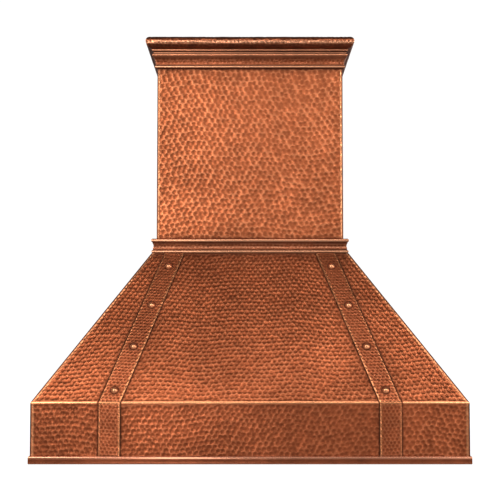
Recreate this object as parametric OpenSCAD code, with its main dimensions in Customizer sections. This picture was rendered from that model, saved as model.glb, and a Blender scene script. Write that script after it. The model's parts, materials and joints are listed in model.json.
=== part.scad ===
// Island range hood: hammered copper canopy, chimney and mouldings over a steel
// ceiling frame, with a stainless liner, baffle filters, lamps, a double-inlet
// blower and a duct with a backdraft damper.
// Millimetres. Origin at the middle of the ceiling plane, +Z up, front at -Y.

/* [Overall size] */
// Width over the bottom rim
hood_w = 1067; // [940:1:1300]
// Depth over the bottom rim, front to back
hood_d = 762; // [660:1:900]
// Height from the rim's underside to the ceiling
hood_h = 1120; // [1000:1:1500]

/* [Canopy] */
// Height of the upright apron above the rim
apron_h = 128.5; // [100:0.5:170]
// Height of the tapered part
taper_h = 385; // [340:1:460]
// Copper sheet thickness
sheet_t = 1.5; // [1:0.1:2]

/* [Bottom rim] */
// Height of the rim band
rim_h = 19; // [14:0.5:26]
// How far the rim stands proud of the apron
rim_proud = 4; // [2.5:0.5:6]
// Width of the lip turned in under the liner
rim_lip_w = 35; // [25:1:45]
// Thickness of the lip
rim_lip_t = 2; // [1.5:0.1:3]

/* [Straps and rivets] */
// Strap width, measured level
strap_w = 53; // [40:1:65]
// Strap thickness
strap_t = 2.5; // [1.5:0.1:4]
// Strap centre line to the apron's corner, at the fold
strap_edge_fold = 190.5; // [60:0.5:260]
// Strap centre line to the canopy's top corner, under the collar
strap_edge_top = 62; // [40:1:110]
// Rivets on each strap
rivet_count = 4; // [2:1:6]
// Radius of a rivet's domed head
rivet_r = 9.5; // [6:0.5:12]
// Height of the dome
rivet_rise = 7; // [4:0.5:8]
// Radius of the rivet's shank
shank_r = 3; // [2:0.1:4]

/* [Chimney] */
// Chimney width
chimney_w = 504; // [440:1:560]
// Chimney depth
chimney_d = 305; // [290:1:360]
// Radius of the chimney's folded corners
chimney_corner_r = 4; // [3:0.5:8]

/* [Mouldings] */
// Height of the collar moulding
collar_h = 40; // [34:1:50]
// Height of the crown moulding
crown_h = 83; // [76:1:100]
// Step from the chimney's face to the canopy's top edge
canopy_step = 12; // [10:0.5:16]

/* [Ceiling frame] */
// Leg width of the angle posts
post_leg = 25; // [20:1:30]
// Steel thickness of the posts, plate and ring
steel_t = 3; // [2:0.5:4]
// Gap from the chimney's side to a post's outer face
post_inset_x = 27; // [26:1:34]
// Gap from the chimney's front to a post's outer face
post_inset_y = 14; // [8:1:20]
// Ceiling bolt hole to the line of the posts' sides
ceiling_bolt_edge_x = 45; // [38:1:70]
// Ceiling bolt hole to the line of the posts' fronts
ceiling_bolt_edge_y = 26.5; // [20:0.5:30]
// Radius of a ceiling bolt hole
ceiling_hole_r = 5.5; // [4:0.1:7]
// Radius of the M6 frame bolts
frame_bolt_r = 3; // [2.5:0.1:4]
// Radius of the M8 hanger rods
hanger_r = 4; // [3:0.5:5]

/* [Liner] */
// Stainless sheet thickness
liner_t = 1.2; // [0.8:0.1:2]
// Height of the liner's ceiling above the rim's underside
liner_z = 44; // [36:1:60]
// Width of the liner's flange
liner_flange = 21; // [15:1:28]
// Height of the turned-up edge round the filter opening
upstand_h = 36; // [34:1:45]

/* [Filters] */
// Liner strip left beside the three filters
filter_border = 48; // [40:1:70]
// Liner strip in front of and behind the filters, for lamps and controls
lamp_strip = 149.5; // [110:0.5:170]
// Filter thickness
filter_t = 25; // [20:1:28]
// Width of the filter frame's channels
filter_member = 15; // [13:1:20]
// Gap between neighbouring filters
filter_gap = 3; // [2:0.5:5]
// Radius of the hinge rod at the filters' back edge
hinge_rod_r = 3; // [2.5:0.1:4]
// Radial running clearance of pins and shafts
running = 0.06; // [0.02:0.01:0.09]

/* [Lamps and controls] */
// Radius of a lamp's lens
lamp_r = 30; // [24:1:36]
// Lamp centre to the liner's side
lamp_edge = 175; // [80:1:240]
// Radius of the speed knob
knob_r = 16; // [12:1:20]

/* [Blower] */
// Wheel radius
wheel_r = 85; // [75:1:88]
// Blades round the wheel
blade_count = 36; // [24:1:48]
// Width of the scroll housing
scroll_w = 206; // [202:1:230]
// Height of the blower box's top above the rim's underside
box_top = 400; // [392:1:420]

/* [Duct] */
// Inside radius of the damper collar
collar_r = 98.5; // [80:0.5:118]
// Duct sheet thickness
duct_t = 1; // [0.8:0.1:1.5]
// Length of the duct's bell end
bell_l = 60; // [40:1:80]

/* [Hidden] */
$fn = 48;

// Levels, measured up from the rim's underside
z_fold = rim_h + apron_h;
z_top = z_fold + taper_h;
z_crown = hood_h - crown_h;

// Half sizes of the canopy's outer face at the apron and at its top edge
apron_x = hood_w / 2 - rim_proud;
apron_y = hood_d / 2 - rim_proud;
top_x = chimney_w / 2 + canopy_step;
top_y = chimney_d / 2 + canopy_step;
// Lean of the tapers from upright, front and back, then left and right
lean = atan((apron_y - top_y) / taper_h);
side_lean = atan((apron_x - top_x) / taper_h);
// Inside of the canopy's top edge, and the ring's top face under its turned-in lip
top_lip = 12;
inner_top_x = top_x - sheet_t / cos(side_lean) + sheet_t * tan(side_lean);
inner_top_y = top_y - sheet_t / cos(lean) + sheet_t * tan(lean);
ring_z = z_top - sheet_t;
// Strap centre lines, measured from the middle of the hood
strap_x_fold = apron_x - strap_edge_fold;
strap_x_top = top_x - strap_edge_top;

// Frame: the posts' outer faces, and the holes that follow them
post_x = chimney_w / 2 - post_inset_x;
post_y = chimney_d / 2 - post_inset_y;
bolt_y = post_y - 10;
hanger_x = post_x + 15;
hanger_y = 100;
tab_h = 40;
fit_gap = 0.3;
// Spacing of the ceiling bolts
ceiling_bolt_x = 2 * (post_x - ceiling_bolt_edge_x);
ceiling_bolt_y = 2 * (post_y - ceiling_bolt_edge_y);

// Liner and filter opening
pan_x = apron_x - sheet_t - liner_flange - 2;
pan_y = apron_y - sheet_t - liner_flange - 2;
opening_x = pan_x - filter_border;
opening_y = pan_y - lamp_strip;
filter_w = (2 * (opening_x - 4) - 2 * filter_gap) / 3;
filter_l = 2 * (opening_y - 5);
lamp_x = pan_x - lamp_edge;
strip_y = opening_y + 0.53 * lamp_strip;
plate_top = liner_z + liner_t;
upstand_top = plate_top + upstand_h;
plenum_side = 3;
plenum_x = opening_x + liner_t + plenum_side;
plenum_y = opening_y + liner_t + plenum_side;
plenum_flange = 16;
plenum_top = plate_top + upstand_h + 50;
// Filter hinge axis
hinge_y = filter_l / 2 - 6;
hinge_z = liner_z + 6;

// Blower
box_x = hanger_x + 30;
wheel_y = 46;
wheel_z = box_top - wheel_r - 61;
tip_gap = 8;
spiral_growth = 56;
box_y = wheel_y + wheel_r + tip_gap + 21;
inlet_r = wheel_r - 15;
wheel_half = 92;
shaft_r = 6;
motor_r = 0.61 * wheel_r;

// Duct
collar_out = collar_r + duct_t + 0.2;
duct_r = collar_out;
bell_r = duct_r + 2.3;
damper_z = box_top + 30;
duct_bottom = damper_z + 14;
duct_top = hood_h - steel_t - 2;
damper_rod_r = 2;
damper_rod_x = 3;

// Wiring box on the blower box, left of the duct, and the supply cable's way in
jb_size = [60, 100, 50];
jb_x = collar_out + 40;
knockout_r = 11.1;
supply_x = -jb_x - jb_size[0] / 2;
supply_y = -20;
cable_hole_r = 16;

copper = "#b5633f";
steel = "silver";
dark = "dimgray";

// Points along an arc in a plane
function arc(cx, cy, r, a0, a1, n) =
    [for (i = [0:n]) let (a = a0 + (a1 - a0) * i / n) [cx + r * cos(a), cy + r * sin(a)]];

// A closed profile of [stand-off, height] points carried round a rectangle with mitred corners
module moulding_ring(profile, half_x, half_y) {
    n = len(profile);
    signs = [[-1, -1], [1, -1], [1, 1], [-1, 1]];
    points = [for (s = signs) for (p = profile) [s[0] * (half_x + p[0]), s[1] * (half_y + p[0]), p[1]]];
    faces = [for (c = [0:3]) for (i = [0:n - 1]) let (d = (c + 1) % 4, j = (i + 1) % n)
        [c * n + i, c * n + j, d * n + j, d * n + i]];
    polyhedron(points = points, faces = faces, convexity = 6);
}

// One side of a bent sheet: levels are [outer half width, outer half depth, inner half width,
// inner half depth, outer height, inner height]. The front side is drawn, with mitred ends.
module sheet_side(levels) {
    n = len(levels);
    points = [for (l = levels) for (p = [
        [-l[0], -l[1], l[4]], [l[0], -l[1], l[4]], [l[2], -l[3], l[5]], [-l[2], -l[3], l[5]]]) p];
    faces = concat(
        [[0, 1, 2, 3]],
        [[4 * n - 1, 4 * n - 2, 4 * n - 3, 4 * n - 4]],
        [for (k = [0:n - 2]) for (i = [0:3]) let (j = (i + 1) % 4, a = 4 * k, b = 4 * k + 4)
            [a + j, a + i, b + i, b + j]]);
    polyhedron(points = points, faces = faces, convexity = 4);
}

// Copies onto the left and right, or onto all four corners, by mirroring
module both_x() {
    children();
    mirror([1, 0, 0]) children();
}

module all_corners() {
    both_x() children();
    mirror([0, 1, 0]) both_x() children();
}

module plate(size, height) {
    translate([-size[0], -size[1], 0]) cube([2 * size[0], 2 * size[1], height]);
}

module hex_head(across_corner_r, height) {
    cylinder(r = across_corner_r, h = height, $fn = 6);
}

// ---------- Copper shell ----------

// Canopy levels for the front and back sides, as seen along depth, or for the left and right
function canopy_levels(ax, ay, tx, ty, ix, iy) = [
    [ax, ay, ax - sheet_t, ay - sheet_t, rim_lip_t, rim_lip_t],
    [ax, ay, ax - sheet_t, ay - sheet_t, z_fold, z_fold - sheet_t * tan(lean / 2)],
    [tx, ty, ix, iy, z_top, ring_z],
    [tx - top_lip, ty - top_lip, tx - top_lip, ty - top_lip, z_top, ring_z]];

// Places something along the outward normal at a rivet on the front taper
module on_taper(share, side) {
    x = strap_x_fold + (strap_x_top - strap_x_fold) * share;
    y = apron_y + (top_y - apron_y) * share;
    translate([side * x, -y, z_fold + taper_h * share]) rotate([90 - lean, 0, 0]) children();
}

// Share of the taper's height at each rivet
function rivet_share(i) = 0.072 + 0.828 * i / (rivet_count - 1);

module rivet_holes(side) {
    for (i = [0:rivet_count - 1])
        on_taper(rivet_share(i), side)
            translate([0, 0, -8]) cylinder(r = shank_r, h = 16);
}

module canopy_long_side() {
    color(copper) difference() {
        sheet_side(canopy_levels(apron_x, apron_y, top_x, top_y, inner_top_x, inner_top_y));
        rivet_holes(-1);
        rivet_holes(1);
    }
}

module canopy_short_side() {
    color(copper) rotate([0, 0, -90])
        sheet_side(canopy_levels(apron_y, apron_x, top_y, top_x, inner_top_y, inner_top_x));
}

// A flat band carrying the apron's foot, with a lip turned in below it
module bottom_rim() {
    edge = 1.2;
    profile = [
        [-rim_lip_w + rim_proud, 0], [rim_proud - edge, 0], [rim_proud, edge],
        [rim_proud, rim_h - edge], [rim_proud - edge, rim_h], [0, rim_h],
        [0, rim_lip_t], [-rim_lip_w + rim_proud, rim_lip_t]];
    color(copper) moulding_ring(profile, apron_x, apron_y);
}

// A strap folded over the front of the canopy, from the rim to the collar
module strap(side) {
    half = strap_w / 2;
    run = z_top - z_fold;
    top_gap = 0.5;
    share = (run - top_gap) / run;
    x_end = strap_x_fold + (strap_x_top - strap_x_fold) * share;
    y_end = apron_y + (top_y - apron_y) * share;
    centres = [strap_x_fold, strap_x_fold, x_end];
    backs = [[apron_y, rim_h], [apron_y, z_fold], [y_end, z_top - top_gap]];
    fronts = [
        [apron_y + strap_t, rim_h],
        [apron_y + strap_t, z_fold + strap_t * tan(lean / 2)],
        [y_end + strap_t / cos(lean), z_top - top_gap]];
    points = [for (k = [0:2]) for (p = [
        [side * centres[k] - half, -fronts[k][0], fronts[k][1]],
        [side * centres[k] + half, -fronts[k][0], fronts[k][1]],
        [side * centres[k] + half, -backs[k][0], backs[k][1]],
        [side * centres[k] - half, -backs[k][0], backs[k][1]]]) p];
    faces = concat(
        [[0, 1, 2, 3]], [[11, 10, 9, 8]],
        [for (k = [0:1]) for (i = [0:3]) let (j = (i + 1) % 4, a = 4 * k, b = a + 4) [a + j, a + i, b + i, b + j]]);
    color(copper) difference() {
        polyhedron(points = points, faces = faces, convexity = 4);
        rivet_holes(side);
    }
}

// Domed head and shank with a flattened tail behind the sheet
module rivet() {
    tail = 2;
    dome_r = (rivet_r * rivet_r + rivet_rise * rivet_rise) / (2 * rivet_rise);
    half_angle = asin(rivet_r / dome_r);
    rotate_extrude()
        polygon(concat(
            [[0, -sheet_t - tail], [shank_r + 1.5, -sheet_t - tail], [shank_r + 1.5, -sheet_t],
             [shank_r, -sheet_t], [shank_r, strap_t], [rivet_r, strap_t]],
            arc(0, strap_t + rivet_rise - dome_r, dome_r, 90 - half_angle, 90, 10)));
}

module strap_rivets() {
    color(copper)
        for (side = [-1, 1], i = [0:rivet_count - 1])
            on_taper(rivet_share(i), side) rivet();
}

// Two beads with a hollow band between them, hiding the joint of canopy and chimney
module collar_moulding() {
    low_r = 4.6;
    high_r = 5.4;
    bead_x = 7.8;
    h = collar_h;
    outer = concat(
        [[0, 0]],
        arc(bead_x, low_r, low_r, -90, 80, 8),
        arc(bead_x + 9, h / 2, h / 2 - 10.5, 212, 148, 6),
        arc(bead_x, h - high_r, high_r, -70, 90, 8));
    inner = [[0, h], [0, h - 2], [8, h - 2.2], [10.6, h - high_r], [8, h - 8.6], [5, h - 13],
             [5, 11], [8, 7.2], [10.2, low_r], [8, 2.2], [0, 2]];
    profile = [for (p = concat(outer, inner)) [p[0], z_top + p[1]]];
    color(copper) moulding_ring(profile, chimney_w / 2, chimney_d / 2);
}

// Crown, from the lowest bead up to the big roll against the ceiling. It is hollow behind.
module crown_moulding() {
    low_r = 4.9;
    mid_r = 5;
    roll_r = 15.8;
    wall = 2;
    neck = crown_h - 2 * roll_r;
    fillet = neck - 6;
    groove = fillet - 5.2;
    mid = groove - mid_r;
    cove_low = 2 * low_r;
    cove_run = 7;
    cove_rise = mid - mid_r - cove_low;
    cove_r = (cove_run * cove_run + cove_rise * cove_rise) / (2 * cove_run);
    outer = concat(
        [[0, 0]],
        arc(0.6, low_r, low_r, -85, 60, 8),
        arc(3 + cove_r, cove_low, cove_r, 180, 180 - asin(cove_rise / cove_r), 6),
        arc(7.2, mid, mid_r, -50, 70, 8),
        [[9, groove + 0.6], [9, fillet], [13, fillet], [13.6, fillet + 0.6],
         [13.6, neck - 0.8], [13, neck - 0.2]],
        arc(13.2, crown_h - roll_r, roll_r, -90, 90, 20));
    inner = concat(
        [[0, crown_h], [0, crown_h - wall]],
        arc(13.2, crown_h - roll_r, roll_r - wall, 90, -90, 16),
        [[9.5, neck + 1.5], [6.6, groove + 4], [5.2, mid], [4.6, mid - mid_r], [0, mid - 14]]);
    profile = [for (p = concat(outer, inner)) [p[0], z_crown + p[1]]];
    color(copper) moulding_ring(profile, chimney_w / 2, chimney_d / 2);
}

// One U-shaped half of the chimney; the halves meet in the middle of the sides
module chimney_half() {
    x = chimney_w / 2;
    y = chimney_d / 2;
    r = chimney_corner_r;
    seam = 0.2;
    top_gap = 8;
    outline = concat(
        [[x, -seam]], arc(x - r, -y + r, r, 0, -90, 6), arc(-x + r, -y + r, r, -90, -180, 6), [[-x, -seam]],
        [[-x + sheet_t, -seam]],
        arc(-x + r, -y + r, r - sheet_t, -180, -90, 6), arc(x - r, -y + r, r - sheet_t, -90, 0, 6),
        [[x - sheet_t, -seam]]);
    color(copper) translate([0, 0, ring_z])
        linear_extrude(hood_h - ring_z - top_gap) polygon(outline);
}

// ---------- Ceiling frame ----------

module ceiling_plate() {
    z = hood_h - steel_t;
    color(steel) difference() {
        union() {
            translate([0, 0, z]) plate([post_x + steel_t, post_y], steel_t);
            all_corners()
                translate([post_x, post_y - post_leg - 5, z - tab_h])
                    cube([steel_t, post_leg + 5, tab_h]);
        }
        translate([0, 0, z - 1]) cylinder(r = bell_r + duct_t + 3, h = steel_t + 2, $fn = 96);
        translate([supply_x, supply_y, z - 1]) cylinder(r = cable_hole_r, h = steel_t + 2);
        all_corners() {
            translate([ceiling_bolt_x / 2, ceiling_bolt_y / 2, z - 1])
                cylinder(r = ceiling_hole_r, h = steel_t + 2);
            translate([0, bolt_y, z - tab_h / 2]) frame_bolt_hole();
        }
    }
}

module frame_bolt_hole() {
    translate([post_x - 8, 0, 0]) rotate([0, 90, 0]) cylinder(r = frame_bolt_r, h = 16);
}

// A steel angle standing in one corner, from the lower ring to the ceiling plate
module post() {
    bottom = ring_z - steel_t - tab_h + 2;
    length = hood_h - steel_t - bottom;
    color(dark) difference() {
        translate([post_x, post_y, bottom]) {
            translate([-post_leg, -steel_t, 0]) cube([post_leg, steel_t, length]);
            translate([-steel_t, -post_leg, 0]) cube([steel_t, post_leg, length]);
        }
        translate([0, bolt_y, hood_h - steel_t - tab_h / 2]) frame_bolt_hole();
        translate([0, bolt_y, ring_z - steel_t - tab_h / 2]) frame_bolt_hole();
    }
}

// A ring at the canopy's top edge, with legs turned down that bolt to the posts
module lower_frame() {
    z = ring_z - steel_t;
    edge = 0.5;
    color(dark) difference() {
        union() {
            translate([0, 0, z]) plate([inner_top_x - edge, inner_top_y - edge], steel_t);
            both_x() translate([post_x, -post_y, z - tab_h]) cube([steel_t, 2 * post_y, tab_h]);
        }
        translate([0, 0, z - 1]) plate([post_x, post_y + fit_gap], steel_t + 2);
        all_corners() {
            translate([0, bolt_y, z - tab_h / 2]) frame_bolt_hole();
            translate([hanger_x, hanger_y, z - 1]) cylinder(r = hanger_r, h = steel_t + 2);
        }
    }
}

// Hex bolt, washer and nut through a post and its tab
module frame_bolt() {
    head = 4;
    rotate([0, 90, 0]) {
        translate([0, 0, post_x - steel_t]) cylinder(r = frame_bolt_r, h = 2 * steel_t);
        translate([0, 0, post_x + steel_t]) hex_head(frame_bolt_r * 1.9, head);
        translate([0, 0, post_x - steel_t - head]) hex_head(frame_bolt_r * 1.9, head);
    }
}

module frame_bolts() {
    color(steel) all_corners()
        for (z = [hood_h, ring_z])
            translate([0, bolt_y, z - steel_t - tab_h / 2]) frame_bolt();
}

// Threaded rods that carry the blower box from the ring, with a nut on each face
module hanger_rods() {
    nut = 5;
    rod_low = box_top - 14;
    rod_high = ring_z + nut + 6;
    levels = [ring_z, ring_z - steel_t - nut, box_top, box_top - liner_t - nut];
    color(steel) all_corners() translate([hanger_x, hanger_y, 0]) {
        translate([0, 0, rod_low]) cylinder(r = hanger_r, h = rod_high - rod_low);
        for (z = levels)
            translate([0, 0, z]) hex_head(hanger_r * 1.8, nut);
    }
}

// ---------- Liner, filters, lamps and controls ----------

// A stainless tray upside down, with a flange on the rim's lip and an upstand round the filters
module liner_pan() {
    color(steel) difference() {
        union() {
            difference() {
                translate([0, 0, rim_lip_t]) plate([pan_x, pan_y], plate_top - rim_lip_t);
                translate([0, 0, rim_lip_t - 1])
                    plate([pan_x - liner_t, pan_y - liner_t], liner_z - rim_lip_t + 1);
            }
            difference() {
                translate([0, 0, rim_lip_t])
                    plate([pan_x + liner_flange, pan_y + liner_flange], liner_t);
                translate([0, 0, rim_lip_t - 1]) plate([pan_x - liner_t, pan_y - liner_t], liner_t + 2);
            }
            translate([0, 0, liner_z]) plate([opening_x + liner_t, opening_y + liner_t], upstand_top - liner_z);
        }
        translate([0, 0, liner_z - 1]) plate([opening_x, opening_y], upstand_h + 10);
        translate([-opening_x - 5, hinge_y, hinge_z]) rotate([0, 90, 0])
            cylinder(r = hinge_rod_r, h = 2 * opening_x + 10);
        all_corners() translate([lamp_x, strip_y, liner_z - 1]) cylinder(r = lamp_r + 3, h = liner_t + 2);
        translate([0, -strip_y, liner_z - 1]) {
            for (x = rocker_places)
                translate([x, 0, 0]) plate([rocker_hole[0], rocker_hole[1]], liner_t + 2);
            cylinder(r = knob_bush_r, h = liner_t + 2);
        }
        for (p = screw_places)
            translate([p[0], p[1], liner_z - 1]) cylinder(r = screw_r, h = liner_t + 2, $fn = 24);
    }
}

screw_r = 1.8;
screw_edge = plenum_flange / 2;
screw_places = concat(
    [for (k = [-2:2]) for (s = [-1, 1]) [k * 0.39 * plenum_x, s * (plenum_y + screw_edge)]],
    [for (k = [-1:1]) for (s = [-1, 1]) [s * (plenum_x + screw_edge), k * 0.58 * plenum_y]]);

// Sheet box over the filter opening that feeds the blower box
module plenum_box() {
    color(steel) difference() {
        union() {
            translate([0, 0, plate_top]) plate([plenum_x + plenum_flange, plenum_y + plenum_flange], liner_t);
            translate([0, 0, plate_top]) plate([plenum_x, plenum_y], plenum_top - plate_top);
        }
        translate([0, 0, plate_top - 1])
            plate([plenum_x - liner_t, plenum_y - liner_t], plenum_top - plate_top - liner_t + 1);
        translate([0, 0, plenum_top - 5]) plate([box_x - 20, box_y - 10], 10);
        for (p = screw_places)
            translate([p[0], p[1], plate_top - 1]) cylinder(r = screw_r, h = liner_t + 2, $fn = 24);
    }
}

// Pan-head screws up through the liner into the plenum's flange
module liner_screws() {
    head_r = 3.6;
    color(steel) for (p = screw_places) translate([p[0], p[1], 0]) {
        translate([0, 0, liner_z]) cylinder(r = screw_r, h = 2 * liner_t + 4, $fn = 24);
        translate([0, 0, liner_z - 2.2]) cylinder(r = head_r, h = 2.2, $fn = 24);
    }
}

// Folded channel round one filter, open inwards; the hinge rod runs through its ends
module filter_frame(x) {
    wall = frame_wall;
    color(steel) translate([x, 0, liner_z]) difference() {
        plate([filter_w / 2, filter_l / 2], filter_t);
        translate([0, 0, -1])
            plate([filter_w / 2 - filter_member, filter_l / 2 - filter_member], filter_t + 2);
        translate([0, 0, wall]) plate([filter_w / 2 - wall, filter_l / 2 - wall], filter_t - 2 * wall);
        translate([-filter_w, hinge_y, hinge_z - liner_z]) rotate([0, 90, 0])
            cylinder(r = hinge_rod_r + running, h = 2 * filter_w);
        for (side = [-1, 1])
            translate([side * handle_half, handle_y, -1]) cylinder(r = handle_r, h = 3, $fn = 24);
    }
}

frame_wall = 1.2;
baffle_w = 27;
baffle_wall = 0.8;
baffle_h = 10;
baffle_step_max = 35;

// One channel of the baffle pack, open upwards, drawn in section
module channel() {
    difference() {
        square([baffle_w, baffle_h]);
        translate([baffle_wall, baffle_wall]) square([baffle_w - 2 * baffle_wall, baffle_h]);
    }
}

// Two rows of interleaved channels on end strips, lying in the frame's channels
module filter_baffles(x) {
    span = filter_w - 2 * frame_wall - 1;
    front = -filter_l / 2 + frame_wall + 0.5;
    back = hinge_y - hinge_rod_r - 2.5;
    low = frame_wall;
    high = low + baffle_h + 2.2;
    row = filter_w - 2 * filter_member - 3;
    count = ceil((row - baffle_w) / baffle_step_max) + 1;
    pitch = (row - baffle_w) / (count - 1);
    first = -row / 2;
    color(steel) translate([x, 0, liner_z]) {
        translate([0, back, 0]) rotate([90, 0, 0]) linear_extrude(back - front) {
            for (i = [0:count - 1])
                translate([first + i * pitch, low]) channel();
            for (i = [0:count - 2])
                translate([first + (i + 0.5) * pitch, high + baffle_h]) mirror([0, 1]) channel();
        }
        for (y = [front, back - baffle_wall])
            translate([-span / 2, y, low]) cube([span, baffle_wall, high + baffle_h - low]);
    }
}

handle_half = 45;
handle_r = 3;
handle_drop = 24;
handle_y = -filter_l / 2 + filter_member / 2;

// Bent-wire pull handle plugged into the frame's front member
module filter_handle(x) {
    bend = 10;
    straight = handle_half - bend;
    color(steel) translate([x, handle_y, liner_z]) {
        both_x() {
            translate([handle_half, 0, -handle_drop + bend]) cylinder(r = handle_r, h = handle_drop - bend + frame_wall);
            translate([straight, 0, -handle_drop + bend]) rotate([90, 90, 0])
                rotate_extrude(angle = 90) translate([bend, 0]) circle(r = handle_r);
        }
        translate([-straight, 0, -handle_drop]) rotate([0, 90, 0]) cylinder(r = handle_r, h = 2 * straight);
    }
}

module filter_hinge_rod() {
    color(steel) translate([-opening_x - liner_t - 1.5, hinge_y, hinge_z]) rotate([0, 90, 0])
        cylinder(r = hinge_rod_r, h = 2 * (opening_x + liner_t + 1.5));
}

// Magnet blocks that hold up each filter's front edge
module magnet_catches() {
    size = [22, 12, 7];
    color(dark) for (k = [-1:1], s = [-1, 1])
        translate([k * (filter_w + filter_gap) + s * 100 - size[0] / 2, -opening_y, liner_z + filter_t + fit_gap])
            cube(size);
}

module lamp_cans() {
    color(dark) all_corners() translate([lamp_x, strip_y, liner_z]) {
        difference() {
            cylinder(r = lamp_r + 2.8, h = 26);
            translate([0, 0, -1]) cylinder(r = lamp_r + 1.3, h = 24);
        }
        translate([0, 0, 26]) cylinder(r = 18, h = 8);
    }
}

module lamp_bezels() {
    color(steel) all_corners() translate([lamp_x, strip_y, liner_z]) rotate_extrude($fn = 72)
        polygon([[lamp_r + 0.1, 0], [lamp_r + 0.1, -3], [lamp_r + 3, -4], [lamp_r + 9, -2.6], [lamp_r + 11, 0]]);
}

module lamp_lenses() {
    color("ivory") all_corners() translate([lamp_x, strip_y, liner_z])
        cylinder(r = lamp_r + 1, h = 3, $fn = 72);
}

// Rocker switches sit left of the middle and the speed knob on the hood's middle line
rocker_places = [-66, 66];
rocker_hole = [15, 9.5];
rocker_half = [12.5, 7];
knob_bush_r = 5;
control_half = [100, 30];
control_t = 2;
rocker_pin_r = 1.5;
rocker_pin_z = liner_z + 3;

// Brushed fascia on the liner's underside
module control_plate() {
    color(steel) translate([0, -strip_y, liner_z - control_t]) difference() {
        plate(control_half, control_t);
        for (x = rocker_places)
            translate([x, 0, -1]) plate(rocker_hole, control_t + 2);
        translate([0, 0, -1]) cylinder(r = knob_bush_r, h = control_t + 2);
    }
}

// Bodies of the two rocker switches and of the speed control, above the liner
module switch_bodies() {
    body = [17, 13];
    body_h = 24;
    color(dark) translate([0, -strip_y, plate_top]) {
        for (x = rocker_places) translate([x, 0, 0]) difference() {
            union() {
                plate(body, body_h);
                translate([0, 0, liner_z - plate_top]) plate([rocker_hole[0], rocker_hole[1]], 3);
            }
            translate([0, 0, -5]) plate([rocker_half[0] + 1.2, rocker_half[1] + 0.5], 16);
            translate([0, -20, rocker_pin_z - plate_top]) rotate([-90, 0, 0])
                cylinder(r = rocker_pin_r + running, h = 40, $fn = 24);
        }
        difference() {
            union() {
                cylinder(r = 13, h = 18);
                translate([0, 0, -control_t - liner_t]) cylinder(r = knob_bush_r, h = 6);
            }
            translate([0, 0, -10]) cylinder(r = 3 + running, h = 22);
        }
    }
}

// Rocker paddle with a shallow V face, turning on a pin across it
module rocker(x) {
    deep = 5.5;
    color("black") translate([x, -strip_y, rocker_pin_z]) {
        translate([0, rocker_half[1], 0]) rotate([90, 0, 0]) linear_extrude(2 * rocker_half[1])
            polygon([[-rocker_half[0] + 0.6, 2], [-rocker_half[0], -5], [-0, -deep + 1.2],
                     [rocker_half[0] - 0.4, -deep - 2.6], [rocker_half[0] - 1.2, 2], [0, 3]]);
        translate([0, -rocker_half[1] - 3.5, 0]) rotate([-90, 0, 0])
            cylinder(r = rocker_pin_r, h = 2 * rocker_half[1] + 7, $fn = 24);
    }
}

// Round knob with a grip ridge and its shaft
module speed_knob() {
    knob_h = 17;
    z = liner_z - control_t - 0.6;
    color("black") translate([0, -strip_y, 0]) {
        translate([0, 0, z - 4]) cylinder(r = knob_r, h = 4, $fn = 72);
        translate([0, 0, z - knob_h]) cylinder(r = knob_r * 0.8, h = knob_h - 4, $fn = 72);
        translate([-knob_r * 0.8, -2, z - knob_h - 2.5]) cube([knob_r * 1.6, 4, 4]);
        translate([0, 0, z]) cylinder(r = 3, h = 14);
    }
}

// ---------- Blower ----------

module blower_box() {
    bottom = plenum_top;
    inner = [box_x - liner_t, box_y - liner_t];
    color(steel) difference() {
        translate([0, 0, bottom]) union() {
            plate([box_x, box_y], box_top - bottom);
        }
        translate([0, 0, bottom - 1]) plate(inner, box_top - bottom - liner_t + 1);
        translate([0, 0, box_top - 5]) cylinder(r = collar_r, h = 10, $fn = 96);
        all_corners() translate([hanger_x, hanger_y, box_top - 5]) cylinder(r = hanger_r, h = 10);
    }
}

// Scroll wall radius at an angle round the wheel, growing towards the outlet
function spiral_r(a, skin) = wheel_r + tip_gap + spiral_growth * a / 270 + skin;

// Outline of the scroll in depth and height; the tongue is where the spiral starts
module scroll_outline(skin) {
    start = 68;
    mouth = collar_r + 3;
    roof = box_top - liner_t;
    side = wheel_y - spiral_r(270 - 45, skin);
    polygon(concat(
        [for (i = [0:36]) let (a = 250 * i / 36)
            [wheel_y + spiral_r(a, skin) * cos(start - a), wheel_z + spiral_r(a, skin) * sin(start - a)]],
        [[-mouth - skin, wheel_z + 25], [-mouth - skin, roof], [mouth + skin, roof], [mouth + skin, roof - 20]]));
}

// Sheet-metal scroll with a round inlet in each end
module blower_scroll() {
    half = scroll_w / 2;
    color(steel) rotate([0, 0, 90]) rotate([90, 0, 0]) translate([0, 0, -half]) difference() {
        linear_extrude(scroll_w) scroll_outline(liner_t);
        translate([0, 0, liner_t]) linear_extrude(scroll_w - 2 * liner_t) union() {
            scroll_outline(0);
            translate([-collar_r - 2, box_top - 30]) square([2 * collar_r + 4, 60]);
        }
        translate([wheel_y, wheel_z, -1]) cylinder(r = inlet_r, h = scroll_w + 2, $fn = 72);
    }
}

// Moves a thing drawn along +Z onto the wheel's axis, which runs along X
module on_wheel_axis() {
    translate([0, wheel_y, wheel_z]) rotate([0, 90, 0]) children();
}

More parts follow.
